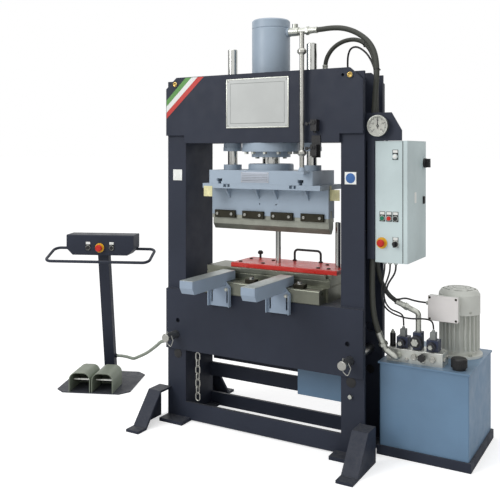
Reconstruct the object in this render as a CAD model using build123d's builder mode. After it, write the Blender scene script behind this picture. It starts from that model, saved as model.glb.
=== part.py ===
from build123d import *
from math import cos, pi, radians, sin, tan
import os

os.makedirs("parts", exist_ok=True)

# A workshop hydraulic press for joining and straightening, with its power
# unit, switch cabinet and free-standing foot pedestal.
# Millimetres. X is to the right, Y to the back, Z up, and the floor is z = 0.
# The press is drawn about the axis of its ram and moved at the end, so that
# the middle of the whole row stands at the origin.

# Press frame
span = 1282             # over the outer faces of the two columns
column_width = 133
column_depth = 300
column_top = 2062
flange = 16             # channel flange and web of a column
web = 12
plate = 20              # front and rear plates of head and table
head_top = 2082
head_edge = 1730        # lower edge of the head plates in front of the columns
head_bottom = 1683      # lower edge between the columns, and of the bolster
head_chamfer_x = 77
head_chamfer_z = 67
bolster = 40
rib_x = 185
lifting_hole = 16
lifting_x = 526
lifting_z = 2043
ring_x = 570
pad = 20                # foot pad under a column
pad_in = 475
pad_half_depth = 240
foot_in = 615
foot_out = 705
foot_height = 190
foot_flat_y = 260
foot_toe_y = 405
foot_end_y = 475
foot_sheet = 12
toe = 15
rear_foot_in = 530
rear_foot_end = 450
base_bar = 20
front_bar_z = (7, 112)
rear_bar_z = (17, 96)
cross_bar_z = (199, 284)
tie_width = 70

# Table beam and its pins
table_bottom = 430
table_rear_bottom = 306
table_top = 795
beam_gap = 8            # side play of the beam between the columns
pin = 50
pin_x = 566
pin_z = 519
pin_pitch = 120
pin_front = 283
pin_rear = 190
pin_play = 0.4
small_hole = 28
small_hole_x = 553
small_hole_z = 606
chain_x = -413
chain_y = -160
chain_link = 56         # length of a link
chain_wire = 8
chain_pitch = 40
chain_count = 7

# Table plate, die and stops
bench_x = (-411, 395)
bench_y = (-185, 150)
bench = 80
slot_y = -139
slot_neck = 18
slot_neck_depth = 16
slot_head = 32
slot_head_depth = 16
die_x = (-411, 404)
die_y = (-60, 150)
die = 66
die_groove_z = 36
stop_plate_x = (-254, 436)
stop_plate_y = (-38, 225)
stop_plate = 25
post = 32
post_x = (9, 395)
post_y = 75
post_height = 263
bow_x = (54, 228)
bow_y = 205
bow_height = 68
bow_wire = 14
star_x = -186
arm_x = (-238, 150)
arm_width = 85
arm_front = -533
arm_rear = -85
arm_top = 926
arm_depth = 73
arm_nose = 40
arm_nose_run = 20
arm_step_y = -190
bracket_width = 146
bracket_bottom = 730
bracket_sheet = 8
slide_play = 0.3

# Cylinder, guides and the limit rod
barrel = 225
bore = 160
cylinder_top = 2405
cap_height = 53
port_drop = 78          # hose port below the top of the cap
cylinder_flange = 342
flange_bottom = 1632
gland = 230
gland_bottom = 1600
ram_rod = 102
rod_fit = 0.05
piston_drop = 145       # top of the piston below the top of the cap
piston_height = 80
hub = 268
hub_top = 1562
guide_x = 265
guide_rod = 60
guide_top = 2252
bush_flange = 114
bush_z = (1635, 1659)
boss = 110
boss_top = 1554
limit_x = 299
limit_y = -200
limit_rod = 26
limit_top = 2286
cam_z = (1625, 2180)
cam = 52
switch_x = 372
switch_z = (1640, 1775)

# Platen, tool holder and tool
platen_half = 340
platen_z = (1444, 1524)
platen_slot_x = 266
wide_half = 385
wide_plate = 28
wide_bolt_x = 217
holder_half = 387
holder_depth = 80
holder_height = 162
cross_bolt = (55, 69)   # from the middle, and above the lower edge of the holder
gusset_x = (60, 262)
gusset = (10, 45, 65)
clamp_x = (96, 290)
clamp = (144, 15, 45)
clamp_drop = 19         # clamp plates below the lower edge of the holder
clamp_screw = 16
tang = 28
tang_height = 40
tool_half = 385
tool_shoulder_drop = 23
tool_straight = 35
tool_nose_drop = 90
tool_depth = 60
tool_nose_width = 16

# Gauge plate and switch cabinet
gauge_plate = 6
gauge_plate_y = -106
strip_x = (641, 682)
strip_bottom = 1060
gauge_plate_x = 831
gauge_plate_z = (1690, 1839)
gauge_plate_chamfer = (56, 95)
gauge = 113
gauge_at = (709, 1768)
gauge_depth = 34
gauge_dial = 100
needle = (62, 5, 1.5)
cabinet_x = (682, 836)
cabinet_y = (-100, 230)
cabinet_bottom = 1045
cabinet_height = 644
cabinet_wall = 3
door = 24
door_gap = 0.3
door_skin = 3
door_hinge_x = 842
main_switch_at = (173, 524)     # depth, and height over the bottom of the cabinet
main_switch_size = (52, 40)
lock_at = (178, 320)
button_rise = 235
green_x = 723
red_x = 760
black_x = 795
button = 22
button_ring = 29
button_out = 12
button_travel = 4
stem = 8
cabinet_stop_at = (721, 104)
stop_head = 40
stop_ring = 60
selector_at = (795, 102)
selector_size = 30
lamp_at = (794, 561)
label = (24, 13, 1.5)
gland_nut = 22
gland_length = 14
bracket_rise = (135, 495)       # cabinet brackets over the bottom of the cabinet
gland_x = (715, 745, 777)
gland_y = -40

# Power unit
skid_x = (668, 1170)
skid_y = (-40, 505)
skid = 50
skid_rim = 60
skid_top = 6
tank_x = (681, 1157)
tank_y = (-30, 500)
tank_top = 500
tank_wall = 5
lid = 10
lid_lip = 6
manifold_x = (709, 1012)
manifold_y = (10, 120)
manifold_top = 572
plug_x = (860, 960)
plug_z = 536
main_port = (776, 536)
clamp_valve = (785, 70, 62, 56)     # place, width and height of each valve
ram_valve = (950, 66, 62, 58)
return_valve = (868, 62, 90)        # place and height
elbow_straight = 46
main_elbow_radius = 16
return_elbow_radius = 22
elbow_turn = (46, 102)          # main elbow before the manifold, return elbow over its valve
breather = (1093, 30)
breather_size = 84
breather_height = 60
motor = (1020, 330)
motor_size = 220
motor_core = 176
motor_top = 752
motor_flange = 250
cowl = 225
cowl_top = 875
rotor = 128
rotor_gap = 1
shaft = 28
fan = 180
fan_z = (790, 826)
terminal_x = (890, 1051)
terminal_y = (170, 215)
terminal_z = (707, 841)
pump = 120
pump_z = (280, 490)
knob_at = (910, 545)
knob = 40

# Pedestal, drawn facing forwards and turned at the end
pedestal_at = (-1439, 153)
pedestal_turn = 23
base_plate = (514, 500, 6)
base_chamfer = 60
post_width = 75
post_depth = 60
post_foot_y = 200
post_head_y = 40
console_width = 485
console_y = (-60, 90)
console_z = (907, 1048)
console_cut = 45
console_stop_z = 959
console_ring = 65
console_stop = 48
console_button_x = 85
console_button = 28
bar = 20
bar_half = 370
bar_front = (-140, 872)
bar_rear = (60, 939)
hood = (148, 215, 132)
hood_round = 50
hood_y = -250
hood_gap = 10
hood_wall = 5
pedal = (112, 150, 8)
pedal_hinge = (-58, 34)
pedal_pin = 12
pedal_fit = 0.05
pedal_tilt = 18

# Hoses and cables
main_hose = 30
return_hose = 25
cable = 10
conduit = 20
main_hose_points = [
    (252, 0, cylinder_top - port_drop), (316, 0, cylinder_top - port_drop), (384, 0, 2331), (452, -2, 2325), (511, -4, 2306), (562, -7, 2278),
    (609, -13, 2240), (644, -20, 2190), (664, -32, 2130), (673, -46, 2060), (671, -56, 1980),
    (666, -64, 1890), (663, -70, 1790), (662, -74, 1640), (663, -76, 1480), (662, -77, 1320),
    (663, -78, 1160), (661, -84, 1010), (663, -92, 880), (668, -88, 770), (682, -66, 680), (705, -48, 612),
]
return_hose_points = [
    (322, 60, 2098), (322, 60, 2136), (335, 60, 2180), (366, 60, 2222), (412, 60, 2252), (466, 60, 2266),
    (520, 54, 2262), (568, 44, 2238), (608, 30, 2196), (636, 14, 2140), (652, -4, 2070), (660, -22, 1980),
    (664, -34, 1880), (665, -38, 1770), (664, -39, 1650), (665, -38, 1500), (664, -38, 1350), (664, -37, 1200),
    (667, -36, 1060), (680, -28, 960), (706, -8, 880), (746, 18, 828), (796, 42, 800),
]
cable_points = [
    (gland_x[-1], gland_y, cabinet_bottom - gland_length), (777, -40, 1005), (769, -43, 978), (754, -48, 953), (738, -51, 927), (729, -51, 899),
    (730, -46, 874), (741, -33, 852), (757, -11, 839), (772, 18, 834), (782, 54, 834), (789, 93, 829),
    (797, 128, 819), (809, 158, 808), (827, 181, 800), (850, 192, 796), (874, 192, 796),
]
conduit_points = [
    (-1460.4, 335.3, 140), (-1423.6, 350.9, 140), (-1378.7, 353.3, 138), (-1333, 340, 139), (-1290, 312, 148),
    (-1240, 274, 168), (-1180, 230, 196), (-1110, 182, 228), (-1040, 138, 262), (-970, 94, 300),
    (-900, 46, 342), (-833.4, -2.2, 380.2), (-791, -32.2, 410.2), (-749.4, -49.2, 427.2), (-703, -58, 436),
    (-655, -58, 436),
]

outer = span / 2
inner = outer - column_width
half_depth = column_depth / 2
front = -half_depth - plate
bench_top = table_top + bench
die_top = bench_top + die
stop_top = die_top + stop_plate
post_top = stop_top + post_height
cap_seam = cylinder_top - cap_height
piston_top = cylinder_top - piston_drop
piston_bottom = piston_top - piston_height
wide_bottom = platen_z[0] - wide_plate
holder_bottom = wide_bottom - holder_height
clamp_bottom = holder_bottom - clamp_drop
tang_top = holder_bottom + tang_height
tool_shoulder = holder_bottom - tool_shoulder_drop
tool_nose = holder_bottom - tool_nose_drop
cabinet_z = (cabinet_bottom, cabinet_bottom + cabinet_height)
main_switch = (main_switch_at[0], cabinet_bottom + main_switch_at[1])
lock = (lock_at[0], cabinet_bottom + lock_at[1])
button_z = cabinet_bottom + button_rise
cabinet_stop = (cabinet_stop_at[0], cabinet_bottom + cabinet_stop_at[1])
selector = (selector_at[0], cabinet_bottom + selector_at[1])
lamp = (lamp_at[0], cabinet_bottom + lamp_at[1])


def block(x, y, z, mode=Mode.ADD):
    """A square-edged block between two places on each axis."""
    with Locations(((x[0] + x[1]) / 2, (y[0] + y[1]) / 2, (z[0] + z[1]) / 2)):
        Box(x[1] - x[0], y[1] - y[0], z[1] - z[0], mode=mode)


def slab(plane, outline, thickness, mode=Mode.ADD):
    """An outline of straight edges on a plane, extruded along the plane's normal."""
    with BuildSketch(plane) as face:
        with BuildLine():
            Polyline(*outline, close=True)
        make_face()
    extrude(face.sketch, amount=thickness, mode=mode)


def slab_xz(outline, y, mode=Mode.ADD):
    """An outline of (x, z) points, from y[0] back to y[1]."""
    slab(Plane.XZ.offset(-y[0]), outline, y[0] - y[1], mode)


def slab_yz(outline, x, mode=Mode.ADD):
    """An outline of (y, z) points, from x[0] to x[1]."""
    slab(Plane.YZ.offset(x[0]), outline, x[1] - x[0], mode)


def slab_xy(outline, z, mode=Mode.ADD):
    """An outline of (x, y) points, from z[0] up to z[1]."""
    slab(Plane.XY.offset(z[0]), outline, z[1] - z[0], mode)


def round_on(plane, places, diameter, thickness, mode=Mode.ADD):
    """Round bars or holes at places on a plane, along its normal."""
    with BuildSketch(plane) as face:
        with Locations(*places):
            Circle(diameter / 2)
    extrude(face.sketch, amount=thickness, mode=mode)


def round_z(places, diameter, z, mode=Mode.ADD):
    """Upright round bars or holes at (x, y) places."""
    round_on(Plane.XY.offset(z[0]), places, diameter, z[1] - z[0], mode)


def round_y(places, diameter, y, mode=Mode.ADD):
    """Round bars or holes along Y at (x, z) places."""
    round_on(Plane.XZ.offset(-y[0]), places, diameter, y[0] - y[1], mode)


def round_x(places, diameter, x, mode=Mode.ADD):
    """Round bars or holes along X at (y, z) places."""
    round_on(Plane.YZ.offset(x[0]), places, diameter, x[1] - x[0], mode)


def turned(place, profile, mode=Mode.ADD):
    """An outline of (radius, z) points turned about an upright axis."""
    axis = Plane(origin=(place[0], place[1], 0), x_dir=(1, 0, 0), z_dir=(0, -1, 0))
    with BuildSketch(axis) as face:
        with BuildLine():
            Polyline(*profile, close=True)
        make_face()
    revolve(face.sketch, axis=Axis((place[0], place[1], 0), (0, 0, 1)), mode=mode)


def hose(points, diameter):
    """A round tube through the points, each corner rounded as widely as its runs allow."""
    radii = []
    for before, here, after in zip(points, points[1:], points[2:]):
        run_in = Vector(*here) - Vector(*before)
        run_out = Vector(*after) - Vector(*here)
        turn = radians(run_in.get_angle(run_out))
        radii.append(0.45 * min(run_in.length, run_out.length) / tan(turn / 2))
    with BuildPart() as tube:
        with BuildLine() as path:
            FilletPolyline(*points, radius=radii)
        start = Plane(origin=points[0], z_dir=Vector(*points[1]) - Vector(*points[0]))
        with BuildSketch(start):
            Circle(diameter / 2)
        sweep(path=path.line)
    length = path.wires()[0].length
    true_volume = length * pi * diameter ** 2 / 4
    print(f"hose {diameter} mm: length {length:.0f}, smallest radius {min(radii):.0f},",
          f"volume ratio {tube.part.volume / true_volume:.4f}")
    return tube.part


pieces = {}


def keep(name, part, turn=None):
    """Label a finished piece; a turned piece is carried to its place on the floor first."""
    pieces[name] = part if turn is None else part.moved(turn)
    pieces[name].label = name


# Columns: channels open to the outside, with pad and feet
def foot(side, inside, outside, start, end_flat, end_slope, end_toe, direction):
    """A folded foot of sheet: a sloping cover over an upright web, and a flat toe."""
    x = sorted((side * inside, side * outside))
    web_x = (x[1] - foot_sheet, x[1]) if side > 0 else (x[0], x[0] + foot_sheet)
    top = foot_height
    cover = [
        (direction * start, top), (direction * end_flat, top), (direction * end_slope, toe),
        (direction * end_toe, toe), (direction * end_toe, 0), (direction * (end_slope - 8), 0),
        (direction * (end_flat - 6), top - foot_sheet), (direction * start, top - foot_sheet),
    ]
    slab_yz(cover, x)
    slab_yz([cover[0], cover[1], cover[2], (direction * end_slope, 0), (direction * start, 0)], web_x)


def column(side):
    """One column with everything that is welded to it."""
    x_in = side * inner
    x_out = side * outer
    x_web = side * (inner + web)
    d = half_depth
    slab_xy([
        (x_in, -d), (x_out, -d), (x_out, -d + flange), (x_web, -d + flange),
        (x_web, d - flange), (x_out, d - flange), (x_out, d), (x_in, d),
    ], (pad, column_top))
    block(sorted((side * pad_in, x_out)), (-pad_half_depth, pad_half_depth), (0, pad))
    foot(side, foot_in, foot_out, d, foot_flat_y, foot_toe_y, foot_end_y, -1)
    foot(side, rear_foot_in, outer, d, foot_flat_y, foot_toe_y - 15, rear_foot_end, 1)
    holes = [(side * pin_x, pin_z + step * pin_pitch) for step in (-1, 0, 1)]
    round_y(holes, pin + pin_play, (-d - 1, d + 1), Mode.SUBTRACT)


with BuildPart() as left_column:
    column(-1)
    end_x, end_y, end_z = conduit_points[-1]
    block((-outer, -outer + 6), (-half_depth + flange, half_depth - flange), (end_z - 40, end_z + 40))
    round_x([(end_y, end_z)], conduit + 10, (end_x, -outer))
keep("left_column", left_column.part)

with BuildPart() as right_column:
    column(1)
    bottom, top = gauge_plate_z
    cut_x, cut_z = gauge_plate_chamfer
    slab_xz([
        (inner + web, bottom), (strip_x[0], bottom), (strip_x[0], strip_bottom), (strip_x[1], strip_bottom),
        (strip_x[1], bottom), (gauge_plate_x, bottom), (gauge_plate_x, top - cut_z), (gauge_plate_x - cut_x, top),
        (inner + web, top),
    ], (gauge_plate_y, gauge_plate_y + gauge_plate))
    for rise in bracket_rise:
        z = cabinet_bottom + rise
        block((inner + web, cabinet_x[0]), (40, 80), (z, z + 10))
keep("right_column", right_column.part)


# Head: two plates over the columns, the bolster between them, and ribs
def head_plate(y):
    """A head plate with chamfered top corners and a lower edge that drops between the columns."""
    x = outer
    low = inner - 1
    cx, cz = head_chamfer_x, head_chamfer_z
    slab_xz([
        (-x, head_edge), (-low, head_edge), (-low, head_bottom), (low, head_bottom), (low, head_edge),
        (x, head_edge), (x, head_top - cz), (x - cx, head_top), (cx - x, head_top), (-x, head_top - cz),
    ], y)


with BuildPart() as head:
    head_plate((front, front + plate))
    head_plate((-front - plate, -front))
    block((-inner, inner), (-half_depth, half_depth), (head_bottom, head_bottom + bolster))
    for x in (-rib_x, rib_x):
        block((x - 10, x + 10), (-half_depth, half_depth), (head_bottom, column_top - 30))
    strap_x, strap_y, strap_z = return_hose_points[0]
    block((strap_x - 40, strap_x + 40), (-half_depth, half_depth), (strap_z - 38, strap_z - 26))
    round_z([(0, 0)], barrel + 1, (head_bottom - 1, head_top), Mode.SUBTRACT)
    round_z([(-guide_x, 0), (guide_x, 0)], guide_rod + 12, (head_bottom - 1, head_top), Mode.SUBTRACT)
    lifting = [(-lifting_x, lifting_z), (lifting_x, lifting_z)]
    round_y(lifting, lifting_hole, (front - 1, 1 - front), Mode.SUBTRACT)
keep("head", head.part)

with BuildPart() as base_frame:
    for y, (low, high) in ((-half_depth, front_bar_z), (half_depth - base_bar, rear_bar_z)):
        slab_xz([(-inner, pad), (-pad_in, pad), (-pad_in, low), (pad_in, low), (pad_in, pad), (inner, pad),
                 (inner, high), (-inner, high)], (y, y + base_bar))
    block((-inner, inner), (half_depth - base_bar, half_depth), cross_bar_z)
    for x in (-inner, inner - tie_width):
        block((x, x + tie_width), (-half_depth + base_bar, half_depth - base_bar), (pad, pad + 10))
keep("base_frame", base_frame.part)

# Table beam: plates in front of and behind the columns, joined by a top plate and ribs
with BuildPart() as table_beam:
    beam_in = inner - beam_gap
    slab_xz([(-outer, table_bottom), (outer, table_bottom), (outer, table_top), (-outer, table_top)],
            (front, front + plate))
    slab_xz([(-outer, table_bottom), (-beam_in, table_bottom), (-beam_in, table_rear_bottom),
             (beam_in, table_rear_bottom), (beam_in, table_bottom), (outer, table_bottom),
             (outer, table_top), (-outer, table_top)], (-front - plate, -front))
    block((-beam_in, beam_in), (front + plate, -front - plate), (table_top - 30, table_top))
    for x in (-rib_x, rib_x):
        block((x - 10, x + 10), (front + plate, -front - plate), (table_bottom, table_top))
    round_y([(-pin_x, pin_z), (pin_x, pin_z)], pin + pin_play, (front - 1, 1 - front), Mode.SUBTRACT)
    round_y([(-small_hole_x, small_hole_z), (small_hole_x, small_hole_z)], small_hole,
            (front - 1, front + plate + 1), Mode.SUBTRACT)
keep("table_beam", table_beam.part)


def pin_clip(x, y):
    """The wire clip through a pin: a straight leg and a bow beside the pin."""
    r = pin / 2
    path_points = [(x, y, pin_z + r + 12), (x, y, pin_z - r - 10), (x + 26, y, pin_z - r - 30),
                   (x + 44, y, pin_z - 12), (x + 30, y, pin_z + 14)]
    with BuildLine() as path:
        FilletPolyline(*path_points, radius=9)
    with BuildSketch(Plane(origin=path_points[0], z_dir=(0, 0, -1))) as wire:
        Circle(2.5)
    sweep(wire.sketch, path=path.line)


with BuildPart() as table_pins:
    round_y([(-pin_x, pin_z), (pin_x, pin_z)], pin, (-pin_front, pin_rear))
    chamfer(table_pins.edges().filter_by(GeomType.CIRCLE), 3)
    pin_clip(-pin_x, -pin_front + 22)
    pin_clip(pin_x, -pin_front + 22)
keep("table_pins", table_pins.part)

# Chain that hangs under the table beam: every second link is turned a quarter
with BuildPart() as lift_chain:
    for number in range(chain_count):
        z = table_bottom - chain_link / 2 - number * chain_pitch
        flat = Plane.XZ if number % 2 == 0 else Plane.YZ
        place = Plane(origin=(chain_x, chain_y, z), x_dir=flat.x_dir, z_dir=flat.z_dir)
        middle = chain_link - chain_wire
        breadth = chain_link / 2
        with BuildSketch(place, mode=Mode.PRIVATE) as ring:
            SlotCenterToCenter(middle - breadth, breadth, rotation=90)
        link = ring.sketch.face().outer_wire()
        with BuildSketch(Plane(origin=link @ 0, z_dir=link % 0), mode=Mode.PRIVATE) as wire:
            Circle(chain_wire / 2)
        sweep(wire.sketch, path=link)
keep("lift_chain", lift_chain.part)

with BuildPart() as name_board:
    board_x, board_z, board = 204, (1768, 2053), 3
    block((-board_x, board_x), (front - board, front), board_z)
    fillet(name_board.edges().filter_by(Axis.Y), 6)
keep("name_board", name_board.part)

# Catch box: a folded tray hung on the rear cross bar
with BuildPart() as catch_box:
    box_x, box_z, box_wall = (160, 500), (218, table_bottom - 4), 4
    box_y = (30, half_depth - base_bar)
    block(box_x, box_y, box_z)
    block((box_x[0] + box_wall, box_x[1] - box_wall), (box_y[0] + box_wall, box_y[1] - box_wall),
          (box_z[0] + 24, box_z[1] + 1), Mode.SUBTRACT)
keep("catch_box", catch_box.part)


def hex_heads(plane, places, across, height):
    """Hexagon bolt heads at places on a plane, along its normal."""
    with BuildSketch(plane, mode=Mode.PRIVATE) as heads:
        with Locations(*places):
            RegularPolygon(across / 2, 6, major_radius=False)
    extrude(heads.sketch, amount=height)


def on_circle(place, diameter, count, start=0):
    """Evenly spaced places on a circle."""
    angles = [radians(start + number * 360 / count) for number in range(count)]
    return [(place[0] + diameter / 2 * cos(a), place[1] + diameter / 2 * sin(a)) for a in angles]


# Bolts of cylinder flange and gland, and the lifting rings on the head
with BuildPart() as frame_bolts:
    hex_heads(Plane.XY.offset(flange_bottom - 14), on_circle((0, 0), 300, 12, 15), 24, 14)
    hex_heads(Plane.XY.offset(gland_bottom - 9), on_circle((0, 0), 176, 8), 17, 9)
    rings = [(-ring_x, lifting_z - 2), (ring_x, lifting_z - 2)]
    round_y(rings, 31, (front - 7, front))
    round_y(rings, 15, (front - 8, front + 1), Mode.SUBTRACT)
    round_y([(564, 324)], 22, (-half_depth - 16, -half_depth))
keep("frame_bolts", frame_bolts.part)

# Bench plate with a T-slot along its front, rounded at the front edge
with BuildPart() as table_plate:
    y0, y1 = bench_y
    slot = slot_neck / 2
    wide = slot_head / 2
    neck_z = bench_top - slot_neck_depth
    head_z = neck_z - slot_head_depth
    slab_yz([
        (y0, table_top), (y1, table_top), (y1, bench_top), (slot_y + slot, bench_top), (slot_y + slot, neck_z),
        (slot_y + wide, neck_z), (slot_y + wide, head_z), (slot_y - wide, head_z), (slot_y - wide, neck_z),
        (slot_y - slot, neck_z), (slot_y - slot, bench_top), (y0, bench_top),
    ], bench_x)
    long_edges = table_plate.edges().filter_by(Axis.X)
    fillet(long_edges.filter_by(lambda edge: abs(edge.center().Y - y0) < 1), 10)
    block((bench_x[1], die_x[1] + 4), (die_y[0] - 33, y1), (table_top, bench_top))
keep("table_plate", table_plate.part)

with BuildPart() as lower_die:
    groove = 6
    z = bench_top + die_groove_z
    block(die_x, die_y, (bench_top, die_top))
    block((die_x[0] - 1, die_x[1] + 1), (die_y[0] - 1, die_y[0] + groove), (z - 4, z + 4), Mode.SUBTRACT)
    block((die_x[1] - 26, die_x[1] + 1), (die_y[0] - 1, die_y[0] + 20), (z + 8, die_top + 1), Mode.SUBTRACT)
    chamfer(lower_die.edges().group_by(Axis.Z)[-1].filter_by(Axis.X), 2)
keep("lower_die", lower_die.part)

with BuildPart() as red_plate:
    block(stop_plate_x, stop_plate_y, (die_top, stop_top))
    chamfer(red_plate.edges().group_by(Axis.Z)[-1], 3)
    with Locations(*[(x, y, stop_top) for x in (-215, -60, 300, 365) for y in (10, 140)]):
        CounterBoreHole(7, 12, 10, 30)
keep("red_plate", red_plate.part)

with BuildPart() as stop_posts:
    round_z([(x, post_y) for x in post_x], post, (stop_top, post_top))
    chamfer(stop_posts.edges().group_by(Axis.Z)[-1], 3)
keep("stop_posts", stop_posts.part)

with BuildPart() as rear_handle:
    bow_points = [(bow_x[0], bow_y, stop_top), (bow_x[0], bow_y, stop_top + bow_height),
                  (bow_x[1], bow_y, stop_top + bow_height), (bow_x[1], bow_y, stop_top)]
    with BuildLine() as bow:
        FilletPolyline(*bow_points, radius=22)
    with BuildSketch(Plane.XY.offset(stop_top)):
        with Locations((bow_x[0], bow_y)):
            Circle(bow_wire / 2)
    sweep(path=bow.line)
    round_z([(x, bow_y) for x in bow_x], bow_wire + 12, (stop_top, stop_top + 6))
    turned((star_x, bow_y), [(0, stop_top), (7, stop_top), (7, stop_top + 22), (17, stop_top + 26),
                             (17, stop_top + 38), (9, stop_top + 46), (0, stop_top + 46)])
keep("rear_handle", rear_handle.part)


def support_arm(x):
    """A workpiece arm with its bracket and the T-nut that holds it in the bench slot."""
    low = bench_top + slide_play
    deep = arm_top - arm_depth
    bracket = bench_y[0] - slide_play
    half = arm_width / 2
    slab_yz([
        (arm_front, arm_top), (arm_rear, arm_top), (arm_rear, low), (arm_step_y + 5, low), (arm_step_y - 3, deep),
        (arm_front + arm_nose_run, deep), (arm_front, arm_top - arm_nose),
    ], (x - half, x + half))
    side = bracket_width / 2
    slab_xz([(x - side, bracket_bottom), (x + side, bracket_bottom), (x + side, bench_top - 30),
             (x + half, bench_top), (x - half, bench_top), (x - side, bench_top - 30)],
            (bracket - bracket_sheet, bracket))
    for edge in (x - side, x + side - 6):
        block((edge, edge + 6), (bracket - 26, bracket), (bracket_bottom, bench_top - 34))
    for slot_x in (x - 52, x + 52):
        block((slot_x - 5, slot_x + 5), (bracket - 30, bracket + 1), (bracket_bottom + 22, bracket_bottom + 92),
              Mode.SUBTRACT)
    round_y([(x - 52, bench_top - 42), (x + 52, bench_top - 42)], 16, (bracket - 18, bracket - 4))
    neck = slot_neck / 2 - slide_play
    head_half = slot_head / 2 - slide_play
    neck_low = bench_top - slot_neck_depth - slide_play
    head_low = neck_low - slot_head_depth + 2 * slide_play
    block((x - 30, x + 30), (slot_y - neck, slot_y + neck), (neck_low, low))
    block((x - 30, x + 30), (slot_y - head_half, slot_y + head_half), (head_low, neck_low))


with BuildPart() as left_arm:
    support_arm(arm_x[0])
keep("left_arm", left_arm.part)

with BuildPart() as right_arm:
    support_arm(arm_x[1])
keep("right_arm", right_arm.part)

# Clamps in the bench slot, each a block with a hexagon screw
with BuildPart() as table_clamps:
    for x in (-52, 258):
        block((x - 32, x + 32), (slot_y - 24, slot_y + 24), (bench_top, bench_top + 20))
        hex_heads(Plane.XY.offset(bench_top + 20), [(x, slot_y)], 26, 14)
        block((x - 12, x + 12), (slot_y - 8.5, slot_y + 8.5), (bench_top - slot_neck_depth, bench_top))
keep("table_clamps", table_clamps.part)

# Cylinder: barrel, flange, cap and gland, with the bore inside
with BuildPart() as cylinder:
    r = barrel / 2
    bore_z = (flange_bottom + 13, cap_seam - 7)
    turned((0, 0), [
        (ram_rod / 2 + rod_fit, gland_bottom), (gland / 2, gland_bottom), (gland / 2, flange_bottom),
        (cylinder_flange / 2, flange_bottom), (cylinder_flange / 2, head_bottom), (r, head_bottom),
        (r, cap_seam - 4), (r - 3, cap_seam), (r, cap_seam + 4), (r, cylinder_top - 8), (r - 8, cylinder_top),
        (0, cylinder_top), (0, bore_z[1]), (bore / 2, bore_z[1]), (bore / 2, bore_z[0]),
        (ram_rod / 2 + rod_fit, bore_z[0]),
    ])
    port_z = main_hose_points[0][2]
    round_x([(0, port_z)], 54, (bore / 2 + 12, r + 12))
keep("cylinder", cylinder.part)

with BuildPart() as piston_rod:
    turned((0, 0), [(0, hub_top), (ram_rod / 2, hub_top), (ram_rod / 2, piston_bottom),
                    (bore / 2 - rod_fit, piston_bottom), (bore / 2 - rod_fit, piston_top), (0, piston_top)])
keep("piston_rod", piston_rod.part)

with BuildPart() as guide_bushes:
    sleeve = guide_rod + 12
    for x in (-guide_x, guide_x):
        round_z([(x, 0)], bush_flange, bush_z)
        round_z([(x, 0)], boss, (bush_z[1], head_bottom))
        round_z([(x, 0)], sleeve, (head_bottom, head_bottom + bolster + 12))
        round_z([(x, 0)], guide_rod + 2 * rod_fit, (bush_z[0] - 1, head_bottom + bolster + 20), Mode.SUBTRACT)
keep("guide_bushes", guide_bushes.part)

with BuildPart() as guide_rods:
    round_z([(-guide_x, 0), (guide_x, 0)], guide_rod, (platen_z[1], guide_top))
    chamfer(guide_rods.edges().group_by(Axis.Z)[-1], 4)
keep("guide_rods", guide_rods.part)

# Platen: T-slots from front to back, hub and rod bosses on top, lug of the limit rod
with BuildPart() as platen:
    low, high = platen_z
    block((-platen_half, platen_half), (-half_depth, half_depth), platen_z)
    for x in (-platen_slot_x, platen_slot_x):
        slab_xz([(x - 9, low - 1), (x + 9, low - 1), (x + 9, low + 14), (x + 16, low + 14), (x + 16, low + 30),
                 (x - 16, low + 30), (x - 16, low + 14), (x - 9, low + 14)],
                (-half_depth - 1, half_depth + 1), Mode.SUBTRACT)
    chamfer(platen.edges().filter_by(Axis.Z), 4)
    turned((0, 0), [(0, high), (hub / 2, high), (hub / 2, hub_top - 6), (hub / 2 - 6, hub_top), (0, hub_top)])
    round_z([(-guide_x, 0), (guide_x, 0)], boss, (high, boss_top))
    round_z([(-guide_x, 0), (guide_x, 0)], guide_rod, (high, boss_top + 1), Mode.SUBTRACT)
    block((limit_x - 22, limit_x + 22), (limit_y - 22, -half_depth + 10), (high - 16, high))
    turned((limit_x, limit_y), [(0, high), (20, high), (20, high + 6), (14, high + 22), (0, high + 22)])
keep("platen", platen.part)

with BuildPart() as limit_stick:
    round_z([(limit_x, limit_y)], limit_rod, (platen_z[1] + 22, limit_top))
    for z in cam_z:
        turned((limit_x, limit_y), [(0, z - 16), (cam / 2 - 10, z - 16), (cam / 2, z - 6), (cam / 2, z + 6),
                                    (cam / 2 - 10, z + 16), (0, z + 16)])
keep("limit_rod", limit_stick.part)

# Limit switches on the head, with roller levers that point at the rod
with BuildPart() as limit_switches:
    block((switch_x - 26, switch_x + 26), (front - 6, front), (switch_z[0] - 40, switch_z[0] + 80))
    for z in switch_z:
        block((switch_x - 18, switch_x + 18), (front - 40, front), (z - 31, z + 31))
        round_y([(switch_x, z + 16)], 22, (front - 46, front - 40))
        slab_xz([(switch_x, z + 10), (switch_x, z + 22), (limit_x + 38, z + 12), (limit_x + 38, z + 4)],
                (front - 50, front - 46))
        round_y([(limit_x + 38, z + 8)], 18, (front - 54, front - 44))
        round_z([(switch_x, front - 20)], 16, (z - 42, z - 31))
keep("limit_switches", limit_switches.part)

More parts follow.
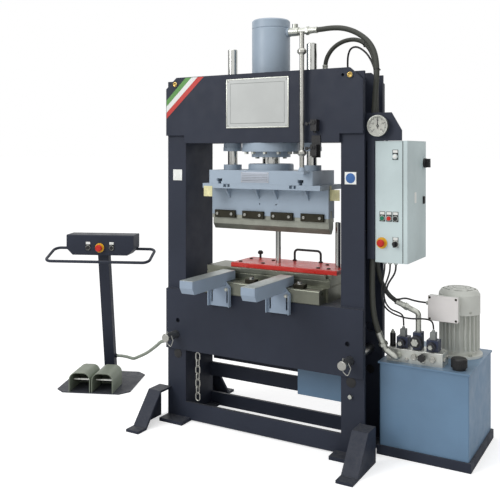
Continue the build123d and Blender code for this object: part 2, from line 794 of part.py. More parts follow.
# Tool holder: wide plate with bolt recesses, the long body with its slot, and gussets
with BuildPart() as tool_holder:
    d = holder_depth / 2
    thick, reach, drop = gusset
    block((-wide_half, wide_half), (-half_depth, half_depth), (wide_bottom, platen_z[0]))
    block((-holder_half, holder_half), (-d, d), (holder_bottom, wide_bottom))
    for x in (-gusset_x[1], -gusset_x[0], gusset_x[0], gusset_x[1]):
        for side in (-1, 1):
            slab_yz([(side * d, wide_bottom), (side * (d + reach), wide_bottom), (side * (d + reach), wide_bottom - 12),
                     (side * d, wide_bottom - drop)], (x - thick / 2, x + thick / 2))
    for x in (-wide_bolt_x, wide_bolt_x):
        block((x - 22, x + 22), (-half_depth - 1, -half_depth + 16), (wide_bottom + 8, platen_z[0] - 2), Mode.SUBTRACT)
        round_z([(x, -half_depth + 8)], 12, (wide_bottom + 7, platen_z[0] - 4))
    block((-holder_half - 1, holder_half + 1), (-tang / 2 - rod_fit, tang / 2 + rod_fit),
          (holder_bottom - 1, tang_top + 2), Mode.SUBTRACT)
    bolt_x, bolt_rise = cross_bolt
    bolt_z = holder_bottom + bolt_rise
    round_y([(-bolt_x, bolt_z), (bolt_x, bolt_z)], 9, (-d - 1, -d + 20), Mode.SUBTRACT)
keep("tool_holder", tool_holder.part)

with BuildPart() as clamp_plates:
    width, thick, tall = clamp
    d = holder_depth / 2
    for x in (-clamp_x[1], -clamp_x[0], clamp_x[0], clamp_x[1]):
        block((x - width / 2, x + width / 2), (-d - thick, -d), (clamp_bottom, clamp_bottom + tall))
    chamfer(clamp_plates.edges().group_by(Axis.Y)[0], 3)
    screws = [(x + step, clamp_bottom + tall / 2) for x in (-clamp_x[1], -clamp_x[0], clamp_x[0], clamp_x[1])
              for step in (-50, 50)]
    round_y(screws, clamp_screw, (-d - thick - 7, -d - thick))
    round_y(screws, clamp_screw / 2, (-d - thick - 8, -d - thick - 3), Mode.SUBTRACT)
keep("clamp_plates", clamp_plates.part)

with BuildPart() as punch:
    t, w, n = tang / 2, tool_depth / 2, tool_nose_width / 2
    low = tool_shoulder - tool_straight
    shoulder = holder_depth / 2 - 2
    slab_yz([(-t, tang_top), (t, tang_top), (t, holder_bottom), (shoulder, holder_bottom), (shoulder, tool_shoulder),
             (w, tool_shoulder), (w, low), (n, tool_nose), (-n, tool_nose), (-w, low), (-w, tool_shoulder),
             (-shoulder, tool_shoulder), (-shoulder, holder_bottom), (-t, holder_bottom)], (-tool_half, tool_half))
keep("punch", punch.part)

# Pressure gauge: case, bezel and dial recess, with a pin for its needle
with BuildPart() as pressure_gauge:
    face_y = gauge_plate_y - gauge_depth
    round_y([gauge_at], gauge - 8, (face_y, gauge_plate_y))
    round_y([gauge_at], gauge, (face_y - 2, face_y + 12))
    round_y([gauge_at], gauge_dial, (face_y - 3, face_y + 6), Mode.SUBTRACT)
    round_y([gauge_at], 5, (face_y, face_y + 6))
keep("pressure_gauge", pressure_gauge.part)

with BuildPart() as gauge_needle:
    length, width, thin = needle
    x, z = gauge_at
    round_y([gauge_at], 14, (face_y + 3, face_y + 3 + thin))
    slab_xz([(x - width / 2, z - 14), (x + width / 2, z - 14), (x + width / 2, z), (x, z + length - 18),
             (x - width / 2, z)], (face_y + 3, face_y + 3 + thin))
    round_y([gauge_at], 5 + 2 * rod_fit, (face_y + 2, face_y + 3 + 2 * thin), Mode.SUBTRACT)
keep("gauge_needle", gauge_needle.part)

# Cabinet shell, open towards the door, with rings, label plates, lamp and cable glands
button_places = [(green_x, button_z), (red_x, button_z), (black_x, button_z)]
with BuildPart() as cabinet:
    wall_y = cabinet_y[0]
    block(cabinet_x, cabinet_y, cabinet_z)
    fillet(cabinet.edges().filter_by(Axis.Z), 3)
    block((cabinet_x[0] + cabinet_wall, cabinet_x[1] + 1), (wall_y + cabinet_wall, cabinet_y[1] - cabinet_wall),
          (cabinet_z[0] + cabinet_wall, cabinet_z[1] - cabinet_wall), Mode.SUBTRACT)
    for x, z in button_places:
        round_y([(x, z)], button_ring, (wall_y - 6, wall_y))
        round_y([(x, z)], button + 1, (wall_y - 7, wall_y), Mode.SUBTRACT)
        block((x - label[0] / 2, x + label[0] / 2), (wall_y - label[2], wall_y),
              (z + 20, z + 20 + label[1]))
    round_y([cabinet_stop], stop_ring, (wall_y - 4, wall_y))
    round_y([selector], selector_size + 6, (wall_y - 4, wall_y))
    block((selector[0] - label[0] / 2, selector[0] + label[0] / 2), (wall_y - label[2], wall_y),
          (selector[1] + 22, selector[1] + 22 + label[1]))
    round_y([lamp], button_ring, (wall_y - 8, wall_y))
    block((lamp[0] - label[0] / 2, lamp[0] + label[0] / 2), (wall_y - label[2], wall_y),
          (lamp[1] + 20, lamp[1] + 20 + label[1]))
    holes = button_places + [cabinet_stop, selector]
    round_y(holes, stem + 2 * slide_play, (wall_y - 10, wall_y + cabinet_wall + 1), Mode.SUBTRACT)
    for x in gland_x:
        round_z([(x, gland_y)], gland_nut, (cabinet_bottom - gland_length, cabinet_bottom))
keep("cabinet", cabinet.part)


def push_button(place, diameter, out, plane_y, travel):
    """A round button with its stem through the wall behind it."""
    round_y([place], diameter, (plane_y - out, plane_y - travel - 0.5))
    round_y([place], stem, (plane_y - travel - 0.5, plane_y + cabinet_wall + 6))
    round_y([place], stem + 6, (plane_y + cabinet_wall + 0.3, plane_y + cabinet_wall + 6))


with BuildPart() as green_button:
    push_button(button_places[0], button, button_out, wall_y, button_travel)
keep("green_button", green_button.part)

with BuildPart() as red_button:
    push_button(button_places[1], button, button_out, wall_y, button_travel)
keep("red_button", red_button.part)

with BuildPart() as black_button:
    push_button(button_places[2], button, button_out, wall_y, button_travel)
keep("black_button", black_button.part)


def stop_button(place, diameter, plane_y, base, travel):
    """A mushroom stop button: neck, domed head and stem."""
    y = plane_y - base - travel - 0.5
    round_y([place], diameter * 0.6, (y - 12, y))
    round_y([place], stem, (y, plane_y + cabinet_wall + 6))
    round_y([place], stem + 6, (plane_y + cabinet_wall + 0.3, plane_y + cabinet_wall + 6))
    with BuildSketch(Plane.XZ.offset(12 - y), mode=Mode.PRIVATE) as rim:
        with Locations(place):
            Circle(diameter / 2)
    extrude(rim.sketch, amount=6)
    with BuildSketch(Plane.XZ.offset(18 - y), mode=Mode.PRIVATE) as rim:
        with Locations(place):
            Circle(diameter / 2)
    extrude(rim.sketch, amount=6, taper=40)


with BuildPart() as cabinet_stop_head:
    stop_button(cabinet_stop, stop_head, wall_y, 4, button_travel)
keep("cabinet_stop", cabinet_stop_head.part)

with BuildPart() as selector_knob:
    y = wall_y - 4 - slide_play
    x, z = selector
    round_y([selector], selector_size, (y - 10, y))
    round_y([selector], stem, (y, wall_y + cabinet_wall + 6))
    slab_xz([(x - 5, z - 15), (x + 5, z - 15), (x + 4, z + 15), (x - 4, z + 15)], (y - 26, y - 10))
keep("selector_knob", selector_knob.part)

# Door: a folded pan with the base of the switch and the lock
with BuildPart() as cabinet_door:
    door_x = (cabinet_x[1] + door_gap, cabinet_x[1] + door)
    door_y = (cabinet_y[0] + 0.5, cabinet_y[1])
    block(door_x, door_y, cabinet_z)
    fillet(cabinet_door.edges().filter_by(Axis.Z).group_by(Axis.X)[-1], 3)
    rim = 14
    block((door_x[0] - 1, door_x[1] - door_skin), (door_y[0] + rim, door_y[1] - rim),
          (cabinet_z[0] + rim, cabinet_z[1] - rim), Mode.SUBTRACT)
    round_x([main_switch], main_switch_size[0] + 12, (door_x[1], door_x[1] + 6))
    round_x([lock], 20, (door_x[1] - door_skin - 20, door_x[1] + 8))
    block((door_x[1] + 2, door_x[1] + 9), (lock[0] - 1.5, lock[0] + 1.5), (lock[1] - 6, lock[1] + 6), Mode.SUBTRACT)
    round_x([main_switch], stem + 2 * slide_play, (door_x[1] - door_skin - 1, door_x[1] + 7), Mode.SUBTRACT)
keep("cabinet_door", cabinet_door.part)

with BuildPart() as switch_knob:
    size, out = main_switch_size
    y, z = main_switch
    x = door_x[1] + 6 + slide_play
    round_x([main_switch], size, (x, x + 12))
    round_x([main_switch], stem, (x - 14, x))
    slab_yz([(y - 9, z - 24), (y + 9, z - 24), (y + 7, z + 24), (y - 7, z + 24)], (x + 12, x + out - 6))
keep("main_switch", switch_knob.part)

# Power unit: skid, tank with lid, manifold, valves
with BuildPart() as unit_base:
    x0, x1 = skid_x
    y0, y1 = skid_y
    block(skid_x, skid_y, (0, skid))
    block((x0 + skid_rim, x1 - skid_rim), (y0 + skid_rim, y1 - skid_rim), (-1, skid - skid_top), Mode.SUBTRACT)
keep("unit_base", unit_base.part)

with BuildPart() as oil_tank:
    x0, x1 = tank_x
    y0, y1 = tank_y
    block(tank_x, tank_y, (skid, tank_top))
    fillet(oil_tank.edges().filter_by(Axis.Z), 8)
    block((x0 + tank_wall, x1 - tank_wall), (y0 + tank_wall, y1 - tank_wall),
          (skid + tank_wall, tank_top - lid), Mode.SUBTRACT)
    block((x0 - lid_lip, x1 + lid_lip), (y0 - lid_lip, y1), (tank_top - lid, tank_top))
    round_z([motor], shaft + 6, (tank_top - lid - 1, tank_top + 1), Mode.SUBTRACT)
keep("oil_tank", oil_tank.part)

with BuildPart() as manifold:
    x0, x1 = manifold_x
    y0, y1 = manifold_y
    block(manifold_x, manifold_y, (tank_top, manifold_top))
    chamfer(manifold.edges().group_by(Axis.Z)[-1], 3)
    for x in plug_x:
        hex_heads(Plane.XZ.offset(-y0), [(x, plug_z)], 27, 14)
    with Locations(*[Plane.XZ.offset(-y0).location * Location((x, tank_top + 18, 0)) for x in (730, 820, 910)]):
        Hole(6, depth=12)
keep("manifold", manifold.part)


def solenoid_valve(x, y, width, height, connector=True):
    """A valve body with its round coil facing forwards and a plug connector on top."""
    z = manifold_top
    block((x - width / 2, x + width / 2), (y - 30, y + 30), (z, z + height))
    round_y([(x, z + height / 2)], height * 0.7, (y - 62, y - 30))
    round_y([(x, z + height / 2)], height * 0.4, (y - 74, y - 62))
    if connector:
        block((x - 15, x + 15), (y - 22, y + 14), (z + height, z + height + 40))
        round_z([(x, y - 4)], 12, (z + height + 40, z + height + 52))


with BuildPart() as valves:
    solenoid_valve(*clamp_valve)
    solenoid_valve(*return_valve[:2], 44, return_valve[2], connector=False)
    solenoid_valve(*ram_valve)
keep("valves", valves.part)

with BuildPart() as valve_knob:
    x, z = knob_at
    y = manifold_y[0] - slide_play
    round_y([knob_at], 12, (y - 24, y))
    round_y([knob_at], knob, (y - 42, y - 20))
    flutes = on_circle(knob_at, knob + 6, 6)
    round_y(flutes, 12, (y - 43, y - 19), Mode.SUBTRACT)
keep("valve_knob", valve_knob.part)

with BuildPart() as breather_cap:
    r = breather_size / 2
    turned(breather, [(0, tank_top), (r - 8, tank_top), (r - 8, tank_top + 12), (r, tank_top + 14),
                      (r, tank_top + breather_height - 6), (r - 6, tank_top + breather_height),
                      (0, tank_top + breather_height)])
    ribs = on_circle(breather, breather_size, 24)
    round_z(ribs, 5, (tank_top + 14, tank_top + breather_height - 6), Mode.SUBTRACT)
keep("breather_cap", breather_cap.part)

# Motor on end: finned body, foot flange, fan cowl with slots, terminal box
with BuildPart() as motor_body:
    x, y = motor
    base = tank_top + 14
    round_z([motor], motor_flange, (tank_top, base))
    round_z([motor], motor_core, (base, motor_top))
    for angle in range(0, 180, 15):
        fin = Plane(origin=(x, y, base + 22), x_dir=(cos(radians(angle)), sin(radians(angle)), 0), z_dir=(0, 0, 1))
        with BuildSketch(fin, mode=Mode.PRIVATE) as fin_face:
            Rectangle(motor_size, 4)
        extrude(fin_face.sketch, amount=motor_top - base - 40)
    r = cowl / 2
    turned(motor, [(0, motor_top - 18), (r, motor_top - 18), (r, cowl_top - 34), (r - 14, cowl_top - 12),
                   (r - 40, cowl_top - 2), (0, cowl_top)])
    inside = r - 4
    turned(motor, [(0, motor_top + 8), (inside, motor_top + 8), (inside, cowl_top - 38), (inside - 14, cowl_top - 18),
                   (0, cowl_top - 8)], Mode.SUBTRACT)
    for radius in (34, 60, 84):
        slots = [Plane(origin=(x, y, cowl_top - 30)).location * Location((0, 0, 0), (0, 0, step * 45 + 10))
                 * Location((radius, 0, 0)) for step in range(8)]
        with BuildSketch(Plane.XY, mode=Mode.PRIVATE) as slot_face:
            Rectangle(7, radius * 0.5)
        for place in slots:
            extrude(slot_face.sketch.moved(place), amount=40, mode=Mode.SUBTRACT)
    neck_y = y - motor_core / 2 + 20
    block((terminal_x[0] + 30, terminal_x[1] - 20), (terminal_y[1], neck_y), (terminal_z[0] + 6, motor_top))
    block(terminal_x, terminal_y, terminal_z)
    round_z([motor], rotor + 2 * rotor_gap, (base + 4, motor_top - 22), Mode.SUBTRACT)
    round_z([motor], shaft + 2 * rod_fit, (tank_top - 1, motor_top + 9), Mode.SUBTRACT)
    round_x([(terminal_y[0] + 22, terminal_z[0] + 89)], 22, (terminal_x[0] - 16, terminal_x[0]))
keep("motor", motor_body.part)

with BuildPart() as motor_rotor:
    round_z([motor], shaft, (pump_z[1] - 30, fan_z[1] + 10))
    round_z([motor], rotor, (base + 12, motor_top - 30))
    round_z([motor], 60, fan_z)
    for angle in range(0, 180, 30):
        blade = Plane(origin=(motor[0], motor[1], fan_z[0]),
                      x_dir=(cos(radians(angle)), sin(radians(angle)), 0), z_dir=(0, 0, 1))
        with BuildSketch(blade, mode=Mode.PRIVATE) as blade_face:
            Rectangle(fan, 4)
        extrude(blade_face.sketch, amount=fan_z[1] - fan_z[0] - 6)
keep("motor_rotor", motor_rotor.part)

with BuildPart() as pump_body:
    round_z([motor], pump, (pump_z[0] + 60, pump_z[1]))
    round_z([motor], pump * 0.7, (pump_z[0], pump_z[0] + 60))
    round_z([motor], 26, (skid + 60, pump_z[0]))
    round_z([motor], shaft + 2 * rotor_gap, (pump_z[1] - 40, pump_z[1] + 1), Mode.SUBTRACT)
keep("pump", pump_body.part)

# Pedestal, drawn about its own middle and then turned
pedestal_place = Location((pedestal_at[0], pedestal_at[1], 0), (0, 0, pedestal_turn))
with BuildPart() as pedestal:
    wide, deep, thick = base_plate
    block((-wide / 2, wide / 2), (-deep / 2, deep / 2), (0, thick))
    chamfer(pedestal.edges().filter_by(Axis.Z), base_chamfer)
    half = post_depth / 2
    slab_yz([(post_foot_y - half, thick), (post_foot_y + half, thick), (post_head_y + half, console_z[0]),
             (post_head_y - half, console_z[0])], (-post_width / 2, post_width / 2))
    outlet_z = conduit_points[0][2]
    lean = (post_head_y - post_foot_y) / (console_z[0] - thick)
    outlet_y = post_foot_y + lean * (outlet_z - thick)
    round_x([(outlet_y, outlet_z)], conduit + 8, (post_width / 2, post_width / 2 + 14))
keep("pedestal", pedestal.part, pedestal_place)

with BuildPart() as console:
    half = console_width / 2
    low, high = console_z
    slab_xz([(-half, low + console_cut), (console_cut - half, low), (half - console_cut, low),
             (half, low + console_cut), (half, high), (-half, high)], console_y)
    chamfer(console.edges().filter_by(Axis.X).group_by(Axis.Z)[-1], 5)
    front_y = console_y[0]
    buttons = [(-console_button_x, console_stop_z), (console_button_x, console_stop_z)]
    round_y([(0, console_stop_z)], console_ring, (front_y - 4, front_y))
    for x, z in buttons:
        round_y([(x, z)], console_button + 7, (front_y - 6, front_y))
        round_y([(x, z)], console_button + 1, (front_y - 7, front_y), Mode.SUBTRACT)
        block((x - 15, x + 15), (front_y - 1.5, front_y), (z + 24, z + 40))
    round_y(buttons + [(0, console_stop_z)], stem + 2 * slide_play, (front_y - 10, front_y + 14), Mode.SUBTRACT)
    front_bar_y, front_bar_height = bar_front
    rear_bar_y, rear_bar_height = bar_rear
    root = half - console_cut
    bar_points = [(root, rear_bar_y, rear_bar_height), (bar_half, rear_bar_y, rear_bar_height),
                  (bar_half, front_bar_y, front_bar_height), (-bar_half, front_bar_y, front_bar_height),
                  (-bar_half, rear_bar_y, rear_bar_height), (-root, rear_bar_y, rear_bar_height)]
    with BuildLine() as loop:
        FilletPolyline(*bar_points, radius=46)
    with BuildSketch(Plane.YZ.offset(root)):
        with Locations((rear_bar_y, rear_bar_height)):
            Circle(bar / 2)
    sweep(path=loop.line)
keep("console", console.part, pedestal_place)


def console_push(x):
    """A console push button with a plain stem that ends inside its bore."""
    place = (x, console_stop_z)
    round_y([place], console_button, (front_y - button_out, front_y - button_travel - 0.5))
    round_y([place], stem, (front_y - button_travel - 0.5, front_y + 6))


with BuildPart() as left_push:
    console_push(-console_button_x)
keep("console_left_button", left_push.part, pedestal_place)

with BuildPart() as right_push:
    console_push(console_button_x)
keep("console_right_button", right_push.part, pedestal_place)

with BuildPart() as console_stop_head:
    y = front_y - 4 - button_travel - 0.5
    place = (0, console_stop_z)
    round_y([place], console_stop * 0.6, (y - 14, y))
    round_y([place], stem, (y, front_y + 6))
    round_y([place], console_stop, (y - 22, y - 14))
    with BuildSketch(Plane.XZ.offset(22 - y)) as dome:
        with Locations(place):
            Circle(console_stop / 2)
    extrude(dome.sketch, amount=7, taper=40)
keep("console_stop", console_stop_head.part, pedestal_place)

hood_wide, hood_deep, hood_high = hood
hinge_y, hinge_z = pedal_hinge
with BuildPart() as pedal_hoods:
    z = base_plate[2]
    for side in (-1, 1):
        x = side * (hood_wide + hood_gap) / 2
        for shrink, deep, mode in ((0, (hood_y, hood_y + hood_deep), Mode.ADD),
                                   (hood_wall, (hood_y - 1, hood_y + hood_deep - hood_wall), Mode.SUBTRACT)):
            low, high = z, z + hood_high - shrink
            half = hood_wide / 2 - shrink
            r = hood_round - shrink
            with BuildSketch(Plane.XZ.offset(-deep[0]), mode=Mode.PRIVATE) as arch:
                with BuildLine():
                    Polyline((x - half, high - r), (x - half, low), (x + half, low), (x + half, high - r))
                    RadiusArc((x + half, high - r), (x + half - r, high), -r)
                    Line((x + half - r, high), (x - half + r, high))
                    RadiusArc((x - half + r, high), (x - half, high - r), -r)
                make_face()
            extrude(arch.sketch, amount=deep[0] - deep[1], mode=mode)
        round_x([(hinge_y, hinge_z)], pedal_pin, (x - hood_wide / 2 + 1, x + hood_wide / 2 - 1))
keep("pedal_hoods", pedal_hoods.part, pedestal_place)


def pedal_plate(x):
    """A pedal plate that rises forwards from the barrel on its hinge pin."""
    wide, long, thick = pedal
    tilt = radians(pedal_tilt)
    ahead = (-cos(tilt), sin(tilt))
    up = (sin(tilt), cos(tilt))

    def at(forward, height):
        return (hinge_y + forward * ahead[0] + height * up[0], hinge_z + forward * ahead[1] + height * up[1])

    slab_yz([at(0, -thick / 2), at(long, -thick / 2), at(long, thick / 2), at(0, thick / 2)],
            (x - wide / 2, x + wide / 2))
    round_x([(hinge_y, hinge_z)], pedal_pin + 12, (x - wide / 2, x + wide / 2))
    round_x([(hinge_y, hinge_z)], pedal_pin + 2 * pedal_fit, (x - wide / 2 - 1, x + wide / 2 + 1), Mode.SUBTRACT)


with BuildPart() as left_pedal:
    pedal_plate(-(hood_wide + hood_gap) / 2)
keep("left_pedal", left_pedal.part, pedestal_place)

with BuildPart() as right_pedal:
    pedal_plate((hood_wide + hood_gap) / 2)
keep("right_pedal", right_pedal.part, pedestal_place)


def hose_elbow(hose_points, corners, diameter, radius):
    """A bent metal tube that goes on in line with the end of a hose."""
    end = Vector(*hose_points[-1])
    ahead = (end - Vector(*hose_points[-2])).normalized()
    points = [end, end + ahead * elbow_straight, *corners]
    with BuildLine() as path:
        FilletPolyline(*points, radius=radius)
    with BuildSketch(Plane(origin=end, z_dir=ahead), mode=Mode.PRIVATE) as ring:
        Circle(diameter / 2)
    sweep(ring.sketch, path=path.line)


# Fittings: cylinder port, bulkhead on the head, and the two elbows on the power unit
with BuildPart() as hose_fittings:
    x = barrel / 2 + 12
    port_z = main_hose_points[0][2]
    round_x([(0, port_z)], 50, (x, x + 60))
    round_x([(0, port_z)], 38, (x + 60, main_hose_points[0][0]))
    round_z([(x + 34, 0)], 34, (port_z, port_z + 44))
    strap_x, strap_y, strap_z = return_hose_points[0]
    round_z([(strap_x, strap_y)], 40, (strap_z - 26, strap_z - 8))
    round_z([(strap_x, strap_y)], 32, (strap_z - 8, strap_z))
    x, z = main_port
    before, above = elbow_turn
    hose_elbow(main_hose_points, [(x, manifold_y[0] - before, z), (x, manifold_y[0], z)], main_hose + 4,
               main_elbow_radius)
    valve_top = manifold_top + return_valve[2]
    x, y, tall = return_valve
    hose_elbow(return_hose_points, [(x, y, valve_top + above), (x, y, valve_top)], return_hose + 5,
               return_elbow_radius)
keep("hose_fittings", hose_fittings.part)

keep("main_hose", hose(main_hose_points, main_hose))
keep("return_hose", hose(return_hose_points, return_hose))
keep("cabinet_cable", hose(cable_points, cable))
keep("conduit", hose(conduit_points, conduit))

# The whole row is moved so that the origin lies on the floor under its middle
boxes = [part.bounding_box() for part in pieces.values()]
west = min(box.min.X for box in boxes)
east = max(box.max.X for box in boxes)
south = min(box.min.Y for box in boxes)
north = max(box.max.Y for box in boxes)
middle = Location((-(west + east) / 2, -(south + north) / 2, 0))
print(f"ram axis at x {-(west + east) / 2:.3f}, y {-(south + north) / 2:.3f}")
for name, part in pieces.items():
    placed = part.moved(middle)
    placed.label = name
    export_step(placed, f"parts/{name}.step")
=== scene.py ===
from math import cos, pi, radians, sin, tau

import bmesh
import bpy
from mathutils import Matrix, Vector


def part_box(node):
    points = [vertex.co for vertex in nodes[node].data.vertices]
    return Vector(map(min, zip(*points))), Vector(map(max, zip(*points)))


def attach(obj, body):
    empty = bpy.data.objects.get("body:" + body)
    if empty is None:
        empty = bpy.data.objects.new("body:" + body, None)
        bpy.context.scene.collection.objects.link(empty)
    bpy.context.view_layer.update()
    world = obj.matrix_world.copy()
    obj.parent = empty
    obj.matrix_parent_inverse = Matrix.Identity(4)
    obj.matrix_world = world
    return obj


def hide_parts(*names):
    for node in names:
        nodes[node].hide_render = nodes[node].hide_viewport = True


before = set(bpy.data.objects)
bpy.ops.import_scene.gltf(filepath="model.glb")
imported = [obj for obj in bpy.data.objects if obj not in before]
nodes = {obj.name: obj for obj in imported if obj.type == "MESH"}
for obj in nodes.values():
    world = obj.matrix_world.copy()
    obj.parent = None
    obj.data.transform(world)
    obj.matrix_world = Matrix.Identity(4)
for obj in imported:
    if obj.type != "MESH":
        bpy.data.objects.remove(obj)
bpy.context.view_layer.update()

MM = 0.001
# The press is drawn in millimetres about its ram, and moved to the row's origin
head_low, head_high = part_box("head")
RAM_AT = Vector(((head_low.x + head_high.x) / 2, (head_low.y + head_high.y) / 2, 0.0))
RAM = Matrix.Translation(RAM_AT) @ Matrix.Scale(MM, 4)
PEDESTAL_AT = (-1439, 153, 0)
PEDESTAL_TURN = 23
PEDESTAL = RAM @ Matrix.Translation(PEDESTAL_AT) @ Matrix.Rotation(radians(PEDESTAL_TURN), 4, "Z")


def srgb(red, green, blue):
    """A screen colour of 0 to 255 as the linear colour that shaders take."""
    def linear(value):
        value /= 255
        return value / 12.92 if value <= 0.04045 else ((value + 0.055) / 1.055) ** 2.4
    return (linear(red), linear(green), linear(blue), 1.0)


def shade(color, factor):
    """The colour, lighter or darker."""
    return tuple(min(1.0, part * factor) for part in color[:3]) + (1.0,)


class Surface:
    """A material with short ways to add nodes and to feed its shader."""

    def __init__(self, name, color, roughness=0.5, metallic=0.0):
        self.material = bpy.data.materials.new(name)
        self.material.use_nodes = True
        self.tree = self.material.node_tree
        self.shader = self.tree.nodes["Principled BSDF"]
        self.feed("Base Color", color)
        self.feed("Roughness", roughness)
        self.feed("Metallic", metallic)
        self.place = self.add("ShaderNodeTexCoord").outputs["Object"]

    def add(self, kind, settings=None, **values):
        """A node; values go to its inputs by name, with underscores for spaces."""
        node = self.tree.nodes.new(kind)
        for key, value in (settings or {}).items():
            setattr(node, key, value)
        for key, value in values.items():
            self.put(node.inputs[key.replace("_", " ")], value)
        return node

    def put(self, socket, value):
        if isinstance(value, bpy.types.NodeSocket):
            self.tree.links.new(value, socket)
        else:
            socket.default_value = value

    def feed(self, name, value):
        self.put(self.shader.inputs[name], value)

    def stretched(self, along):
        """Object coordinates squeezed by a factor on each axis."""
        return self.add("ShaderNodeMapping", Vector=self.place, Scale=along).outputs["Vector"]

    def noise(self, scale, detail=3.0, roughness=0.55, place=None):
        return self.add("ShaderNodeTexNoise", Vector=place or self.place, Scale=scale, Detail=detail,
                        Roughness=roughness).outputs["Fac"]

    def ramp(self, value, low, high, bottom=0.0, top=1.0):
        """value from low to high, mapped to bottom to top."""
        node = self.add("ShaderNodeMapRange", Value=value)
        for name, number in (("From Min", low), ("From Max", high), ("To Min", bottom), ("To Max", top)):
            node.inputs[name].default_value = number
        return node.outputs["Result"]

    def mix(self, factor, first, second):
        """Two colours mixed; a Mix node's colours are its inputs 6 and 7 and its output 2."""
        node = self.add("ShaderNodeMix", {"data_type": "RGBA"}, Factor=factor)
        self.put(node.inputs[6], first)
        self.put(node.inputs[7], second)
        return node.outputs[2]

    def product(self, first, second):
        node = self.add("ShaderNodeMath", {"operation": "MULTIPLY"})
        self.put(node.inputs[0], first)
        self.put(node.inputs[1], second)
        return node.outputs[0]

    def edges(self, radius):
        """A rounded normal, and how near the surface is to an outer edge, from 0 to 1."""
        rounded = self.add("ShaderNodeBevel", {"samples": 4}, Radius=radius).outputs["Normal"]
        same = self.add("ShaderNodeVectorMath", {"operation": "DOT_PRODUCT"})
        self.put(same.inputs[0], rounded)
        self.put(same.inputs[1], self.add("ShaderNodeNewGeometry").outputs["Normal"])
        return rounded, self.ramp(same.outputs["Value"], 0.99, 0.8)

    def bumps(self, height, strength, distance, normal=None):
        node = self.add("ShaderNodeBump", Height=height, Strength=strength, Distance=distance)
        if normal is not None:
            self.put(node.inputs["Normal"], normal)
        self.feed("Normal", node.outputs["Normal"])


BARE_METAL = (0.22, 0.22, 0.21, 1.0)
DUST = srgb(150, 148, 140)


def painted(name, color, roughness=0.42, wear=0.5, grain=900, gloss=0.5):
    """Sprayed enamel: faint clouds, orange peel, settled dust, and worn edges."""
    s = Surface(name, color, roughness)
    s.feed("Specular IOR Level", gloss)
    normal, edge = s.edges(0.0025)
    clouds = s.noise(2.2, 5.0)
    fine = s.noise(60.0, 6.0, 0.7)
    base = s.mix(s.ramp(clouds, 0.35, 0.65), shade(color, 0.9), shade(color, 1.1))
    true_normal = s.add("ShaderNodeNewGeometry").outputs["Normal"]
    up = s.add("ShaderNodeSeparateXYZ", Vector=true_normal).outputs["Z"]
    dust = s.product(s.ramp(up, 0.5, 1.0, 0.0, 0.22), s.ramp(fine, 0.3, 0.7))
    base = s.mix(dust, base, DUST)
    chips = s.product(edge, s.ramp(s.noise(38.0, 8.0, 0.75), 0.56, 0.62, 0.0, wear))
    s.feed("Base Color", s.mix(chips, base, BARE_METAL))
    s.feed("Roughness", s.ramp(s.noise(14.0, 4.0), 0.3, 0.7, roughness - 0.07, roughness + 0.1))
    s.bumps(s.noise(grain, 2.0), 0.09, 0.0004, normal)
    return s.material


EVEN = (1.0, 1.0, 1.0)


def steel(name, color, roughness=0.32, along=EVEN, stain=0.2):
    """Machined steel with tool marks along one axis, oil stains and bright edges."""
    s = Surface(name, color, roughness, 1.0)
    normal, edge = s.edges(0.0012)
    marks = s.noise(260, 4.0, 0.65, s.stretched(along))
    stains = s.ramp(s.noise(9.0, 7.0, 0.6), 0.42, 0.66, 0.0, stain)
    base = s.mix(s.ramp(marks, 0.3, 0.7), shade(color, 0.8), shade(color, 1.15))
    base = s.mix(stains, base, shade(color, 0.42))
    s.feed("Base Color", s.mix(s.product(edge, 0.6), base, shade(color, 1.7)))
    s.feed("Roughness", s.ramp(marks, 0.2, 0.8, roughness - 0.08, roughness + 0.16))
    s.bumps(marks, 0.12, 0.0003, normal)
    return s.material


def moulded(name, color, roughness=0.45, grain=700, relief=0.12):
    """Moulded plastic or rubber with a fine grain and slight scuffs."""
    s = Surface(name, color, roughness)
    normal, edge = s.edges(0.001)
    scuffs = s.ramp(s.noise(26.0, 8.0, 0.7), 0.5, 0.75)
    s.feed("Base Color", s.mix(scuffs, color, shade(color, 1.35)))
    s.feed("Roughness", s.ramp(scuffs, 0.0, 1.0, roughness, roughness + 0.18))
    s.bumps(s.noise(grain, 2.0), relief, 0.0003, normal)
    return s.material


def polished(name, color, roughness=0.08):
    """Hard chrome, ground round, with faint rings and a film of oil."""
    s = Surface(name, color, roughness, 1.0)
    rings = s.noise(60.0, 3.0, 0.5, s.stretched((1.0, 1.0, 30.0)))
    film = s.noise(7.0, 4.0)
    s.feed("Base Color", s.mix(s.ramp(film, 0.4, 0.7), color, shade(color, 0.86)))
    s.feed("Roughness", s.ramp(rings, 0.3, 0.7, roughness, roughness + 0.1))
    s.bumps(rings, 0.03, 0.0002)
    return s.material


def clear_glass(name):
    """Flat window glass with a trace of dust."""
    s = Surface(name, (1.0, 1.0, 1.0, 1.0), 0.03)
    s.feed("Transmission Weight", 1.0)
    s.feed("IOR", 1.45)
    s.feed("Roughness", s.ramp(s.noise(40.0, 5.0), 0.4, 0.8, 0.01, 0.12))
    return s.material


